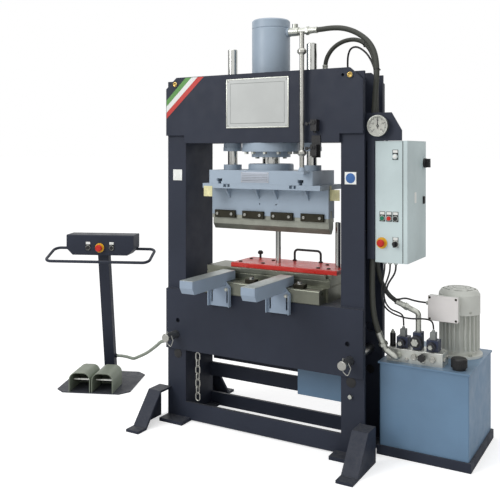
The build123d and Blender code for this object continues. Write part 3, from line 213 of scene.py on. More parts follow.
navy = painted("navy_enamel", srgb(44, 49, 62), 0.5, 0.3, gloss=0.25)
light_blue = painted("light_blue_enamel", srgb(156, 171, 186), 0.4, 0.5)
arm_blue = painted("arm_blue_enamel", srgb(146, 162, 180), 0.42, 0.5)
tank_blue = painted("tank_blue_enamel", srgb(104, 134, 162), 0.4, 0.3)
cabinet_grey = painted("cabinet_powder_coat", srgb(196, 211, 212), 0.5, 0.1, grain=1500)
valve_blue = painted("valve_enamel", srgb(52, 60, 84), 0.4, 0.4)
motor_grey = painted("motor_enamel", srgb(212, 214, 207), 0.5, 0.4)
# The terminal lid has the motor's grey paint; this lighter copy of it is painted light for the lid's lit
# front
lid_painted_light_grey = painted("lid_painted_light_enamel", srgb(240, 236, 234), 0.5, 0.1)
red_enamel = painted("red_enamel", srgb(200, 34, 22), 0.32, 0.6)
pedal_green = painted("pedal_enamel", srgb(126, 135, 120), 0.45, 0.3)
board_white = painted("board_enamel", srgb(190, 193, 191), 0.35, 0.1)
film_green = painted("band_green", srgb(84, 142, 66), 0.4, 0.1)
film_white = painted("band_white", srgb(222, 224, 222), 0.4, 0.1)
film_red = painted("band_red", srgb(188, 46, 38), 0.4, 0.1)
chrome = polished("hard_chrome", srgb(205, 206, 202))
table_steel = steel("ground_table_steel", srgb(132, 134, 122), 0.34, (1.0, 14.0, 14.0), 0.4)
tool_steel = steel("planed_tool_steel", srgb(158, 160, 150), 0.42, (1.0, 14.0, 14.0), 0.4)
bright_steel = steel("bright_steel", srgb(184, 184, 178), 0.28)
zinc = steel("zinc_plate", srgb(196, 198, 190), 0.34, stain=0.15)
dark_steel = steel("blackened_steel", srgb(62, 60, 52), 0.45, stain=0.5)
alloy = steel("manifold_alloy", srgb(206, 208, 202), 0.42, (1.0, 8.0, 8.0))
brass = steel("brass", srgb(172, 146, 86), 0.3, stain=0.3)
strip_steel = steel("scoured_strip_steel", srgb(196, 202, 200), 0.42, (14.0, 1.0, 14.0))
plate_metal = steel("etched_plate", srgb(176, 182, 192), 0.5, (1.0, 12.0, 12.0), 0.1)
black = moulded("black_plastic", srgb(26, 26, 28), 0.42)
grey_plastic = moulded("grey_plastic", srgb(132, 136, 134), 0.5)
green = moulded("green_plastic", srgb(26, 120, 92), 0.3)
red_plastic = moulded("red_plastic", srgb(196, 36, 26), 0.3)
yellow = moulded("yellow_plastic", srgb(232, 176, 40), 0.38)
sign_blue = moulded("blue_film", srgb(52, 98, 158), 0.35)
sign_cream = moulded("cream_film", srgb(214, 208, 160), 0.4)
white = moulded("white_plastic", srgb(232, 234, 230), 0.35)
dial_white = moulded("dial_enamel", srgb(214, 215, 206), 0.5, 900, 0.03)
rubber = moulded("hose_rubber", srgb(58, 60, 54), 0.62, 420, 0.4)
conduit_grey = moulded("conduit_plastic", srgb(148, 156, 144), 0.5, 500, 0.2)
glass = clear_glass("gauge_glass")

# The material of each CAD node
NODE_MATERIALS = {
    navy: ["left_column", "right_column", "head", "base_frame", "table_beam", "unit_base", "pedestal",
           "console"],
    light_blue: ["cylinder", "platen", "tool_holder", "guide_bushes"],
    arm_blue: ["left_arm", "right_arm"],
    tank_blue: ["oil_tank", "catch_box"],
    cabinet_grey: ["cabinet", "cabinet_door"],
    motor_grey: ["motor"],
    red_enamel: ["red_plate"],
    pedal_green: ["pedal_hoods"],
    board_white: ["name_board"],
    chrome: ["guide_rods", "piston_rod", "stop_posts"],
    table_steel: ["table_plate", "lower_die"],
    tool_steel: ["punch"],
    bright_steel: ["limit_rod", "table_pins", "lift_chain"],
    zinc: ["hose_fittings", "pressure_gauge", "frame_bolts"],
    dark_steel: ["clamp_plates", "table_clamps", "motor_rotor", "pump"],
    alloy: ["manifold", "left_pedal", "right_pedal"],
    valve_blue: ["valves"],
    black: ["rear_handle", "limit_switches", "gauge_needle", "black_button", "selector_knob", "main_switch",
            "valve_knob", "breather_cap", "console_left_button", "console_right_button"],
    green: ["green_button"],
    red_plastic: ["red_button", "cabinet_stop", "console_stop"],
}
for material, names in NODE_MATERIALS.items():
    for name in names:
        for place in nodes[name].material_slots:
            place.link = "OBJECT"
            place.material = material

UP = (0, 0, 1)
DOWN = (0, 0, -1)
RIGHT = (1, 0, 0)
LEFT = (-1, 0, 0)
FORWARDS = (0, -1, 0)
BACKWARDS = (0, 1, 0)
CENTRE = (0, 0, 0)
SIDES = (-1, 1)
# Degrees between two faces, up to which the edge between them looks round
SMOOTH_BELOW = 34


def link_object(name, data):
    """An object for this data, in the scene."""
    made = bpy.data.objects.new(name, data)
    bpy.context.scene.collection.objects.link(made)
    return made


def plain_mesh(holder):
    """The mesh that an object shows; the object itself is removed."""
    shown = holder.evaluated_get(bpy.context.evaluated_depsgraph_get())
    data = bpy.data.meshes.new_from_object(shown)
    bpy.data.objects.remove(holder)
    return data


def finished(name, body, data):
    """A smooth-shaded piece with sharp edges kept, riding on a body."""
    data.shade_smooth()
    data.set_sharp_from_angle(angle=radians(SMOOTH_BELOW))
    piece = link_object(name, data)
    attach(piece, body)
    return piece


class Form:
    """A mesh under construction, in millimetres about the ram or the pedestal."""

    def __init__(self, place=RAM):
        self.mesh = bmesh.new()
        self.place = place

    def box(self, x, y, z, round_by=0.0):
        """A block between two places on each axis, with rounded edges."""
        size = Vector((x[1] - x[0], y[1] - y[0], z[1] - z[0]))
        middle = Vector((x[1] + x[0], y[1] + y[0], z[1] + z[0])) / 2
        matrix = Matrix.Translation(middle) @ Matrix.Diagonal((*size, 1.0))
        made = bmesh.ops.create_cube(self.mesh, size=1.0, matrix=matrix)
        if round_by:
            edges = {edge for vertex in made["verts"] for edge in vertex.link_edges}
            bmesh.ops.bevel(self.mesh, geom=list(edges), offset=round_by, segments=3, profile=0.6,
                            affect="EDGES")
        return self

    def turned(self, at, axis, profile, steps=32):
        """A (radius, height) profile turned about an axis through at."""
        turn = aimed(axis).to_matrix().to_4x4()
        place = Matrix.Translation(at) @ turn
        around = [(cos(tau * step / steps), sin(tau * step / steps)) for step in range(steps)]
        rings = []
        for radius, height in profile:
            ring = [(radius * x, radius * y) for x, y in around] if radius else [(0, 0)]
            rings.append([self.mesh.verts.new(place @ Vector((*spot, height))) for spot in ring])
        for lower, upper in zip(rings, rings[1:]):
            for step in range(steps):
                ahead = (step + 1) % steps
                corners = [lower[step % len(lower)], lower[ahead % len(lower)],
                           upper[ahead % len(upper)], upper[step % len(upper)]]
                corners = list(dict.fromkeys(corners))
                if len(corners) > 2:
                    self.mesh.faces.new(corners)
        return self

    def disc(self, at, axis, radius, height, soft=0.8, steps=32):
        """A short round bar with softened rims, from at along its axis."""
        rim = radius - soft
        profile = [(0, 0), (rim, 0), (radius, soft), (radius, height - soft), (rim, height), (0, height)]
        return self.turned(at, axis, profile, steps)

    def hexagon(self, at, axis, across, height):
        """A bolt head with a chamfered top."""
        radius = across / 2 / cos(pi / 6)
        profile = [(0, 0), (radius, 0), (radius, height - 1.5), (radius - 2, height), (0, height)]
        return self.turned(at, axis, profile, 6)

    def as_mesh(self, name):
        """The form as mesh data, with its faces outwards."""
        bmesh.ops.recalc_face_normals(self.mesh, faces=self.mesh.faces)
        data = bpy.data.meshes.new(name)
        self.mesh.to_mesh(data)
        self.mesh.free()
        return data

    def done(self, name, body, material):
        """The finished piece, riding on a body."""
        data = self.as_mesh(name)
        data.transform(self.place)
        data.materials.append(material)
        return finished(name, body, data)


def copies_tree():
    """Node tree that sets a part on every point, turned by the point's own angles."""
    tree = bpy.data.node_groups.new("copies_on_points", "GeometryNodeTree")
    inputs = {"Points": "Geometry", "Part": "Object", "Part Scale": "Float", "Finish": "Material"}
    for label, kind in inputs.items():
        tree.interface.new_socket(label, in_out="INPUT", socket_type="NodeSocket" + kind)
    tree.interface.new_socket("Copies", in_out="OUTPUT", socket_type="NodeSocketGeometry")
    add, join = tree.nodes.new, tree.links.new
    entry = add("NodeGroupInput")
    part = add("GeometryNodeObjectInfo")
    turn = add("GeometryNodeInputNamedAttribute")
    turn.data_type = "FLOAT_VECTOR"
    turn.inputs["Name"].default_value = "turn"
    angles = add("FunctionNodeEulerToRotation")
    copy = add("GeometryNodeInstanceOnPoints")
    solid = add("GeometryNodeRealizeInstances")
    finish = add("GeometryNodeSetMaterial")
    result = add("NodeGroupOutput")
    join(entry.outputs["Part"], part.inputs["Object"])
    join(turn.outputs["Attribute"], angles.inputs["Euler"])
    join(entry.outputs["Points"], copy.inputs["Points"])
    join(part.outputs["Geometry"], copy.inputs["Instance"])
    join(angles.outputs["Rotation"], copy.inputs["Rotation"])
    join(entry.outputs["Part Scale"], copy.inputs["Scale"])
    join(copy.outputs["Instances"], solid.inputs["Geometry"])
    join(solid.outputs["Geometry"], finish.inputs["Geometry"])
    join(entry.outputs["Finish"], finish.inputs["Material"])
    join(finish.outputs["Geometry"], result.inputs["Copies"])
    return tree


COPIES = copies_tree()


def aimed(direction):
    """The turn that brings a part's Z axis to this direction."""
    return Vector(UP).rotation_difference(Vector(direction))


def copies(name, body, material, part, places, turns=None, aim=UP, place=RAM):
    """Copies of one form at many places, all aimed one way or each with its own turn."""
    stem = link_object(name + "_part", part.as_mesh(name + "_part"))
    points = bpy.data.meshes.new(name + "_places")
    points.from_pydata([place @ Vector(spot) for spot in places], [], [])
    angles = points.attributes.new("turn", "FLOAT_VECTOR", "POINT")
    for value, turn in zip(angles.data, turns or [aimed(aim)] * len(places)):
        value.vector = Vector((place.to_quaternion() @ turn).to_euler())
    holder = link_object(name + "_places", points)
    modifier = holder.modifiers.new("copies", "NODES")
    modifier.node_group = COPIES
    settings = {"Part": stem, "Part Scale": MM, "Finish": material}
    for socket in COPIES.interface.items_tree:
        if socket.name in settings:
            modifier[socket.identifier] = settings[socket.name]
    data = plain_mesh(holder)
    bpy.data.objects.remove(stem)
    data.name = name
    return finished(name, body, data)


def span(node):
    """A CAD node's lowest and highest corner, in millimetres about the ram."""
    low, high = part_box(node)
    return (low - RAM_AT) / MM, (high - RAM_AT) / MM


def inset(low, high, gap):
    """A range shortened by a gap at both ends."""
    return low + gap, high - gap


def about(middle, half):
    """A range of this half width about its middle."""
    return middle - half, middle + half


def hex_head(across, height):
    """A bolt head on a washer."""
    washer = 1.6
    head = Form().disc(CENTRE, UP, across * 0.64, washer, 0.4, 24)
    return head.hexagon((0, 0, washer), UP, across, height)


def socket_head(radius, height, hollow):
    """A round screw head with its socket, drawn as a round one."""
    return Form().turned(CENTRE, UP, [
        (0, height - hollow), (radius * 0.5, height - hollow), (radius * 0.5, height),
        (radius - 0.8, height), (radius, height - 0.8), (radius, 0)], 24)


def rivet(radius):
    """A low domed rivet head."""
    dome = [(1, 0), (0.88, 0.28), (0.48, 0.48), (0, 0.56)]
    return Form().turned(CENTRE, UP, [(radius * out, radius * up) for out, up in dome], 16)


def collar(inner, outer, height, slant):
    """The profile of a collar round a button, with a slant of this width and height on its rim."""
    return [(inner, 0), (outer, 0), (outer, height - slant[1]), (outer - slant[0], height),
            (inner, height)]


def border(form, x, y, z, width, soft):
    """Four strips that frame an upright panel."""
    form.box((x[0], x[1]), y, (z[0], z[0] + width), soft)
    form.box((x[0], x[1]), y, (z[1] - width, z[1]), soft)
    form.box((x[0], x[0] + width), y, (z[0] + width, z[1] - width), soft)
    form.box((x[1] - width, x[1]), y, (z[0] + width, z[1] - width), soft)
    return form


# Name board: bare, with a folded rim, a plain inner line and a rivet in each corner
board_low, board_high = span("name_board")
board_x, board_z = (board_low.x, board_high.x), (board_low.z, board_high.z)
board_face = board_low.y
RIM_WIDTH, RIM_THICK, LINE_WIDTH, LINE_THICK = 6, 1.6, 2.5, 0.4
LINE_IN, RIVET_IN = 26, 14
border(Form(), board_x, (board_face - RIM_THICK, board_face), board_z, RIM_WIDTH, 0.6).done(
    "board_rim", "root", zinc)
border(Form(), inset(*board_x, LINE_IN), (board_face - LINE_THICK, board_face),
       inset(*board_z, LINE_IN), LINE_WIDTH, 0).done("board_line", "root", grey_plastic)
copies("board_rivets", "root", bright_steel, rivet(5), [
    (x, board_face, z) for x in inset(*board_x, RIVET_IN) for z in inset(*board_z, RIVET_IN)],
    aim=FORWARDS)

# Platen: a bare rating plate on the front, with rivets and plain lines
PLATEN_FRONT = -150
PLATE_X, PLATE_Z, PLATE_THICK = (-118, 66), (1453, 1515), 1.2
PLATE_FACE = PLATEN_FRONT - PLATE_THICK
FIRST_LINE, LINE_STEP, LINES = 12, 9.5, 5
Form().box(PLATE_X, (PLATE_FACE, PLATEN_FRONT), PLATE_Z, 0.4).done("platen_plate", "ram", plate_metal)
copies("platen_plate_rivets", "ram", bright_steel, rivet(3), [
    (x, PLATE_FACE, z) for x in inset(*PLATE_X, 6) for z in inset(*PLATE_Z, 6)], aim=FORWARDS)
copies("platen_plate_rules", "ram", dark_steel, Form().box((-84, 84), (-0.4, 0), (-0.7, 0.7)), [
    (sum(PLATE_X) / 2, PLATE_FACE, PLATE_Z[0] + FIRST_LINE + row * LINE_STEP) for row in range(LINES)])

# Bare sign plates, two on the columns and one at each end of the ram
COLUMN_FRONT = -150
LEFT_SIGN_X, RIGHT_SIGN_X, SIGN_Z = -569, 563, 1490
SIGN_HALF, SIGN_SOFT = 33, 0.3
for name, x in (("left", LEFT_SIGN_X), ("right", RIGHT_SIGN_X)):
    Form().box(about(x, SIGN_HALF), (COLUMN_FRONT - PLATE_THICK, COLUMN_FRONT), about(SIGN_Z, SIGN_HALF),
               SIGN_SOFT).done(f"{name}_sign_plate", "root", white)
Form().disc((RIGHT_SIGN_X, COLUMN_FRONT - 1, SIGN_Z), FORWARDS, 27, 0.6, 0.1).done(
    "right_sign_disc", "root", sign_blue)
Form().box((-376, -316), (PLATEN_FRONT - 1.6, PLATEN_FRONT), (1366, 1428), SIGN_SOFT).done(
    "ram_left_sign_plate", "ram", sign_cream)
Form().box((384.6, 446), (-21.6, -20), (1356, 1418), SIGN_SOFT).box(
    (384.6, 386.2), (-20.4, 4), (1392, 1440), SIGN_SOFT).done("ram_right_sign_plate", "ram", sign_cream)

# Three plain bands of colour across the head's left corner
head_corner, head_far = span("head")
head_front, head_top = head_corner.y, head_far.z
HEAD_CHAMFER = 77
BAND, BAND_START, BAND_SLOPE = 44, 68, 0.86
BAND_MARGIN, FILM = 3, 0.5


def band(name, near, far, material):
    """A strip of film across the corner, between two distances along the head's edges."""
    left, top = head_corner.x + BAND_MARGIN, head_top - BAND_MARGIN
    corners = [(left, head_top - HEAD_CHAMFER - far * BAND_SLOPE),
               (left, head_top - HEAD_CHAMFER - near * BAND_SLOPE),
               (head_corner.x + HEAD_CHAMFER + near, top), (head_corner.x + HEAD_CHAMFER + far, top)]
    form = Form()
    front = [form.mesh.verts.new((x, head_front - FILM, z)) for x, z in corners]
    back = [form.mesh.verts.new((x, head_front, z)) for x, z in corners]
    form.mesh.faces.new(front)
    form.mesh.faces.new(back)
    for step in range(4):
        ahead = (step + 1) % 4
        form.mesh.faces.new([front[step], front[ahead], back[ahead], back[step]])
    form.done(name, "root", material)


for step, (name, film) in enumerate((("green", film_green), ("white", film_white), ("red", film_red))):
    start = BAND_START + step * BAND
    band(f"corner_band_{name}", start, start + BAND, film)

# Brass plugs in the lifting rings, each with a bar across
LIFTING_X, LIFTING_Z = 570, 2041
ring_plug = Form().turned(
    CENTRE, UP, [(0, 0), (15, 0), (15.4, 1.5), (13.5, 2.5), (8, 2.2), (7, 1.6), (0, 1.6)])
copies("lifting_ring_plugs", "root", brass, ring_plug.box((-7, 7), (-2, 2), (1.4, 3), 0.3),
       [(side * LIFTING_X, head_front - 7, LIFTING_Z) for side in SIDES], aim=FORWARDS)

# Weld beads along the edges where head and table plates meet the columns
COLUMN_X = (508, 641)
BEAD_STEP, BEAD_LINES_Z = 5, (1729, 796, 429)
bead = Form().turned(CENTRE, RIGHT, [(0, -4), (4, -3), (5, 0), (4, 3), (0, 4)], 10)
copies("weld_beads", "root", navy, bead, [
    (side * (COLUMN_X[0] + 3 + step * BEAD_STEP), COLUMN_FRONT - 0.5, z)
    for side in SIDES for z in BEAD_LINES_Z for step in range((COLUMN_X[1] - COLUMN_X[0]) // BEAD_STEP)])

# Caps in the lowest pin holes, which the table's pins leave free
PIN_X, LOW_PIN_Z = 566, 399
for name, y, way in (("front", COLUMN_FRONT, FORWARDS), ("rear", -COLUMN_FRONT, BACKWARDS)):
    cap = Form().turned(
        CENTRE, UP, [(0, -6), (24.9, -6), (24.9, 0), (28, 0), (28, 1.5), (26, 2.6), (0, 2.6)])
    copies(f"pin_hole_caps_{name}", "root", black, cap,
           [(side * PIN_X, y, LOW_PIN_Z) for side in SIDES], aim=way)

# Gauge: dial with ticks and numbers, and a glass
GAUGE = Vector((709, -134, 1768))
DIAL_RADIUS, DIAL_FACE, GLASS_FACE = 49.5, 0.6, 6.4
TICKS, ZERO_AT, SWEEP = 40, 225, 270
TICK_RING, NUMBER_RING, NUMBER_HEIGHT = 46, 29, 13
Form().turned(GAUGE, FORWARDS, [
    (0, 0), (DIAL_RADIUS, 0), (DIAL_RADIUS, DIAL_FACE), (0, DIAL_FACE)], 64).done(
    "gauge_dial", "root", dial_white)


def dial_place(step, radius, depth):
    """Where a tick or number stands on the dial, and its angle."""
    angle = radians(ZERO_AT - step * SWEEP / TICKS)
    return GAUGE + Vector((radius * cos(angle), -depth, radius * sin(angle))), angle


for name, half_long, half_wide, steps in (
        ("gauge_long_ticks", 5, 1.3, range(0, TICKS + 1, 5)),
        ("gauge_short_ticks", 2.6, 0.6, [step for step in range(TICKS + 1) if step % 5])):
    marks = [dial_place(step, TICK_RING - half_long, DIAL_FACE) for step in steps]
    copies(name, "root", black, Form().box(about(0, half_long), (-0.3, 0), about(0, half_wide)),
           [spot for spot, angle in marks],
           [Matrix.Rotation(-angle, 3, "Y").to_quaternion() for spot, angle in marks])

upright = Matrix.Rotation(radians(90), 4, "X")
numbers = Form()
for step in range(0, TICKS + 1, 10):
    words = bpy.data.curves.new("gauge_number", "FONT")
    words.body = str(step)
    words.size = NUMBER_HEIGHT
    words.align_x = "CENTER"
    words.align_y = "CENTER"
    words.extrude = 0.15
    outline = plain_mesh(link_object("gauge_number", words))
    outline.transform(Matrix.Translation(dial_place(step, NUMBER_RING, DIAL_FACE + 0.2)[0]) @ upright)
    numbers.mesh.from_mesh(outline)
numbers.done("gauge_numbers", "root", black)
Form().turned(GAUGE + GLASS_FACE * Vector(FORWARDS), FORWARDS, [
    (0, 0), (49.6, 0), (49.6, 1.2), (46, 1.8), (0, 2.2)], 64).done("gauge_glass", "root", glass)


def legends(stem, places, frame_size, label_size, place=RAM):
    """A black frame and a bare white label at each button; a size is half width, bottom and top."""
    for name, material, thick, (half, bottom, top) in (
            ("legend_frames", black, 1.1, frame_size), ("labels", white, 2, label_size)):
        form = Form().box(about(0, half), (-thick, 0), (bottom, top), 0.5)
        copies(f"{stem}_{name}", "root", material, form, places, place=place)


# Cabinet: legend frames, bezels, bare labels, lamp lens, stop disc, a black strip of painted shade along
# the door seam, and glands
cabinet_low, cabinet_high = span("cabinet")
CABINET_FRONT, DOOR_FACE = -100, 860
BUTTONS_X, BUTTON_Z = (723, 760, 795), 1280
BUTTONS = [(x, CABINET_FRONT, BUTTON_Z) for x in BUTTONS_X]
SELECTOR = (795, CABINET_FRONT, 1147)
LAMP_X, LAMP_Z = 794, 1606
STOP_X, STOP_Z = 721, 1149
LAMP = (LAMP_X, CABINET_FRONT, LAMP_Z)
BEZEL_SLANT = (1.4, 2.4)
cabinet_floor = cabinet_low.z + 14
legends("cabinet", [*BUTTONS, SELECTOR, LAMP], (15.5, -17, 36), (12.6, 19.4, 33.6))
copies("cabinet_bezels", "root", zinc, Form().turned(CENTRE, UP, collar(11.6, 15, 6.4, BEZEL_SLANT)),
       [*BUTTONS, LAMP], aim=FORWARDS)
Form().turned(SELECTOR, FORWARDS, collar(15.8, 18.6, 4.4, (1.6, 1))).done("selector_bezel", "root", zinc)
Form().turned((LAMP_X, CABINET_FRONT - 8, LAMP_Z), FORWARDS, [
    (0, 0), (11.4, 0), (11.4, 2), (9, 4.4), (4, 5.6), (0, 6)]).done("cabinet_lamp_lens", "root", white)
Form().disc((STOP_X, CABINET_FRONT - 3.9, STOP_Z), FORWARDS, 30.4, 0.8, 0.3, 48).done(
    "cabinet_stop_disc", "root", yellow)
# A flat black strip on the front by the door: painted shade for the dark seam between door and cabinet
Form().box((cabinet_high.x - 3.4, cabinet_high.x + 0.1), (CABINET_FRONT - 0.4, CABINET_FRONT + 0.2),
           inset(cabinet_floor, cabinet_high.z, 4)).done("door_gasket", "root", black)
Form().box((DOOR_FACE - 0.5, DOOR_FACE + 9.6), (166, 190), (1344, 1386), 6).done(
    "door_lock_plate", "door", black)
Form().box((DOOR_FACE, DOOR_FACE + 0.6), (18, 52), (1356, 1414), 0.2).done("door_label", "door", white)
GLANDS_X, GLAND_Y = (715, 745, 777), -40
cable_gland = Form().hexagon(CENTRE, UP, 25, 6)
cable_gland.turned((0, 0, 6), UP, [(0, 0), (11.5, 0), (11.5, 5), (8, 9), (0, 9)], 24)
copies("cabinet_glands", "root", zinc, cable_gland,
       [(x, GLAND_Y, cabinet_floor) for x in GLANDS_X], aim=DOWN)

# Console: frames, button rings and bare labels
CONSOLE_FRONT, CONSOLE_Z, CONSOLE_SIDE = -60, 959, 85
CONSOLE_BUTTONS = [(side * CONSOLE_SIDE, CONSOLE_FRONT, CONSOLE_Z) for side in SIDES]
Form(PEDESTAL).disc((0, CONSOLE_FRONT - 4, CONSOLE_Z), FORWARDS, 32.8, 0.8, 0.3, 48).done(
    "console_stop_disc", "root", yellow)
legends("console", CONSOLE_BUTTONS, (18.5, -20, 43), (15.5, 23.5, 40.5), place=PEDESTAL)
copies("console_bezels", "root", zinc, Form().turned(CENTRE, UP, collar(14.6, 18, 6.4, BEZEL_SLANT)),
       CONSOLE_BUTTONS, aim=FORWARDS, place=PEDESTAL)

# Cast ribs on the two pedals
PEDAL_TILT, PEDAL_SIDE, PEDAL_HINGE = 18, 79, (-58, 34)
FIRST_RIB, RIB_STEP, RIBS = -142, 14, 8
for side, name in zip(SIDES, ("left", "right")):
    hinge = PEDESTAL @ Matrix.Translation((side * PEDAL_SIDE, *PEDAL_HINGE))
    copies(f"{name}_pedal_ribs", f"{name}_foot_pedal", alloy,
           Form().box((-50, 50), (-3.5, 3.5), (0, 2.4), 0.8),
           [(0, FIRST_RIB + step * RIB_STEP, 3.8) for step in range(RIBS)],
           place=hinge @ Matrix.Rotation(-radians(PEDAL_TILT), 4, "X"))

# Screws of clamps, arms and red plate, and the arms' steel strips
clamp_low = span("clamp_plates")[0]
red_top = span("red_plate")[1].z
CLAMPS_X, CLAMP_SCREW_OUT = (-290, -96, 96, 290), 50
ARMS_X, STRIP_HALF, BOLT_OUT = {"left": -238, "right": 150}, 42, 52
copies("clamp_screws", "ram", bright_steel, socket_head(8.6, 7.8, 2), [
    (screw_x, clamp_low.y + 7, clamp_low.z + 22.5)
    for x in CLAMPS_X for screw_x in about(x, CLAMP_SCREW_OUT)], aim=FORWARDS)
copies("bench_clamp_screws", "root", bright_steel, hex_head(27, 12), [(x, -139, 895) for x in (-52, 258)])
for side, x in ARMS_X.items():
    Form().box(about(x, STRIP_HALF), (-531, -86), (926, 928), 0.8).done(
        f"{side}_arm_strip", f"{side}_support_arm", strip_steel)
    copies(f"{side}_bracket_bolts", f"{side}_support_arm", zinc, hex_head(17, 8),
           [(bolt_x, -203, 833) for bolt_x in about(x, BOLT_OUT)], aim=FORWARDS)
copies("red_plate_screws", "root", dark_steel, socket_head(11, 5, 3),
       [(x, y, red_top) for x in (-215, -60, 300, 365) for y in (10, 140)])

# Motor: terminal lid, its screws and gland, cover screws and flange bolts
MOTOR = Vector((1020, 330, 0))
LID_X, LID_Z, LID_FRONT, LID_SCREW_IN = (888, 1053), (705, 843), 166, 11
# The lid is in the lighter copy of the motor grey, with painted light
Form().box(LID_X, (LID_FRONT, 178), LID_Z, 2.5).done("terminal_lid", "root", lid_painted_light_grey)
copies("terminal_lid_screws", "root", dark_steel, socket_head(6.2, 2.4, 1.4), [
    (x, LID_FRONT, z) for x in inset(*LID_X, LID_SCREW_IN) for z in inset(*LID_Z, LID_SCREW_IN)],
    aim=FORWARDS)
Form().hexagon((890, 192, 796), LEFT, 26, 8).turned((882, 192, 796), LEFT, [
    (0, 0), (11.5, 0), (11.5, 6), (7, 9), (0, 9)], 24).done("terminal_gland", "root", zinc)
FLANGE_RADIUS, FLANGE_Z = 111, 514
COWL_RADIUS, COWL_SCREW_Z = 112.3, 752
quarters = [Vector((cos(angle), sin(angle), 0)) for angle in (pi / 4 + step * pi / 2 for step in range(4))]
copies("motor_flange_bolts", "root", zinc, hex_head(17, 8),
       [MOTOR + FLANGE_RADIUS * way + FLANGE_Z * Vector(UP) for way in quarters])
copies("cowl_screws", "root", zinc, socket_head(6, 4, 2),
       [MOTOR + COWL_RADIUS * way + COWL_SCREW_Z * Vector(UP) for way in quarters],
       [aimed(way) for way in quarters])

# Valve coils, nuts and plugs; x, y, height and whether a plug sits on top
VALVES = [(785, 70, 56, True), (868, 62, 90, False), (950, 66, 58, True)]
VALVE_BASE, COIL_OUT, NUT_OUT = 572, 30, 62
coils = Form()
nuts = Form()
for x, y, height, plugged in VALVES:
    z = VALVE_BASE + height / 2
    coil = height * 0.35
    rim = coil + 0.6
    coils.turned((x, y - COIL_OUT, z), FORWARDS, [
        (0, 0), (rim, 0), (rim, 8), (coil - 1, 9), (coil - 1, 11), (rim, 12), (rim, 31),
        (coil - 3, 32.6), (0, 32.6)], 40)
    nuts.hexagon((x, y - NUT_OUT, z), FORWARDS, height * 0.4, 12.4)
coils.done("valve_coils", "root", black)
nuts.done("valve_nuts", "root", zinc)
connector = Form().box((-15.6, 15.6), (-22.6, 14.6), (0, 40.6), 4)
connector.turned((0, -4, 40), UP, [(0, 0), (8, 0), (8, 6), (6.4, 12.4), (0, 12.4)], 20)
copies("valve_connectors", "root", grey_plastic, connector,
       [(x, y, VALVE_BASE + height) for x, y, height, plugged in VALVES if plugged])

# Plugs in the manifold's front and right end, and the cartridge on its left
MANIFOLD_FRONT, MANIFOLD_RIGHT, PORT_Z = 10, 1012, 536
copies("manifold_plugs", "root", bright_steel, hex_head(17, 6),
       [(x, MANIFOLD_FRONT, 518) for x in (730, 820, 910)], aim=FORWARDS)
port_plug = Form().disc(CENTRE, UP, 18, 2.4, 0.5)
port_plug.turned(CENTRE, UP, [(0, 0), (16.6, 0), (16.6, 14.6), (15, 16), (8, 16), (7, 14.4), (0, 14.4)], 6)
copies("port_plugs", "root", bright_steel, port_plug,
       [(x, MANIFOLD_FRONT, PORT_Z) for x in (860, 960)], aim=FORWARDS)
copies("manifold_end_plugs", "root", bright_steel, hex_head(22, 9),
       [(MANIFOLD_RIGHT, y, PORT_Z) for y in (38, 92)], aim=RIGHT)
CARTRIDGE = (729, 52)
Form().hexagon((*CARTRIDGE, 570), UP, 30, 14).disc((*CARTRIDGE, 584), UP, 15.4, 58, 1.6).done(
    "cartridge_coil", "root", black)
Form().hexagon((*CARTRIDGE, 642), UP, 20, 11).disc((*CARTRIDGE, 653), UP, 6, 9, 1).done(
    "cartridge_nut", "root", zinc)

# Hoses, cables and the conduit: the same routes as their solids, in millimetres about the ram
MAIN_HOSE = [
    (252, 0, 2327), (316, 0, 2327), (384, 0, 2331), (452, -2, 2325), (511, -4, 2306),
    (562, -7, 2278), (609, -13, 2240), (644, -20, 2190), (664, -32, 2130), (673, -46, 2060),
    (671, -56, 1980), (666, -64, 1890), (663, -70, 1790), (662, -74, 1640), (663, -76, 1480),
    (662, -77, 1320), (663, -78, 1160), (661, -84, 1010), (663, -92, 880), (668, -88, 770),
    (682, -66, 680), (705, -48, 612),
]
RETURN_HOSE = [
    (322, 60, 2098), (322, 60, 2136), (335, 60, 2180), (366, 60, 2222), (412, 60, 2252),
    (466, 60, 2266), (520, 54, 2262), (568, 44, 2238), (608, 30, 2196), (636, 14, 2140),
    (652, -4, 2070), (660, -22, 1980), (664, -34, 1880), (665, -38, 1770), (664, -39, 1650),
    (665, -38, 1500), (664, -38, 1350), (664, -37, 1200), (667, -36, 1060), (680, -28, 960),
    (706, -8, 880), (746, 18, 828), (796, 42, 800),
]
CABINET_CABLE = [
    (777, -40, 1031), (777, -40, 1005), (769, -43, 978), (754, -48, 953), (738, -51, 927),
    (729, -51, 899), (730, -46, 874), (741, -33, 852), (757, -11, 839), (772, 18, 834),
    (782, 54, 834), (789, 93, 829), (797, 128, 819), (809, 158, 808), (827, 181, 800),
    (850, 192, 796), (874, 192, 796),
]
CONDUIT = [
    (-1460.4, 335.3, 140), (-1423.6, 350.9, 140), (-1378.7, 353.3, 138), (-1333, 340, 139),
    (-1290, 312, 148), (-1240, 274, 168), (-1180, 230, 196), (-1110, 182, 228), (-1040, 138, 262),
    (-970, 94, 300), (-900, 46, 342), (-833.4, -2.2, 380.2), (-791, -32.2, 410.2),
    (-749.4, -49.2, 427.2), (-703, -58, 436), (-655, -58, 436),
]
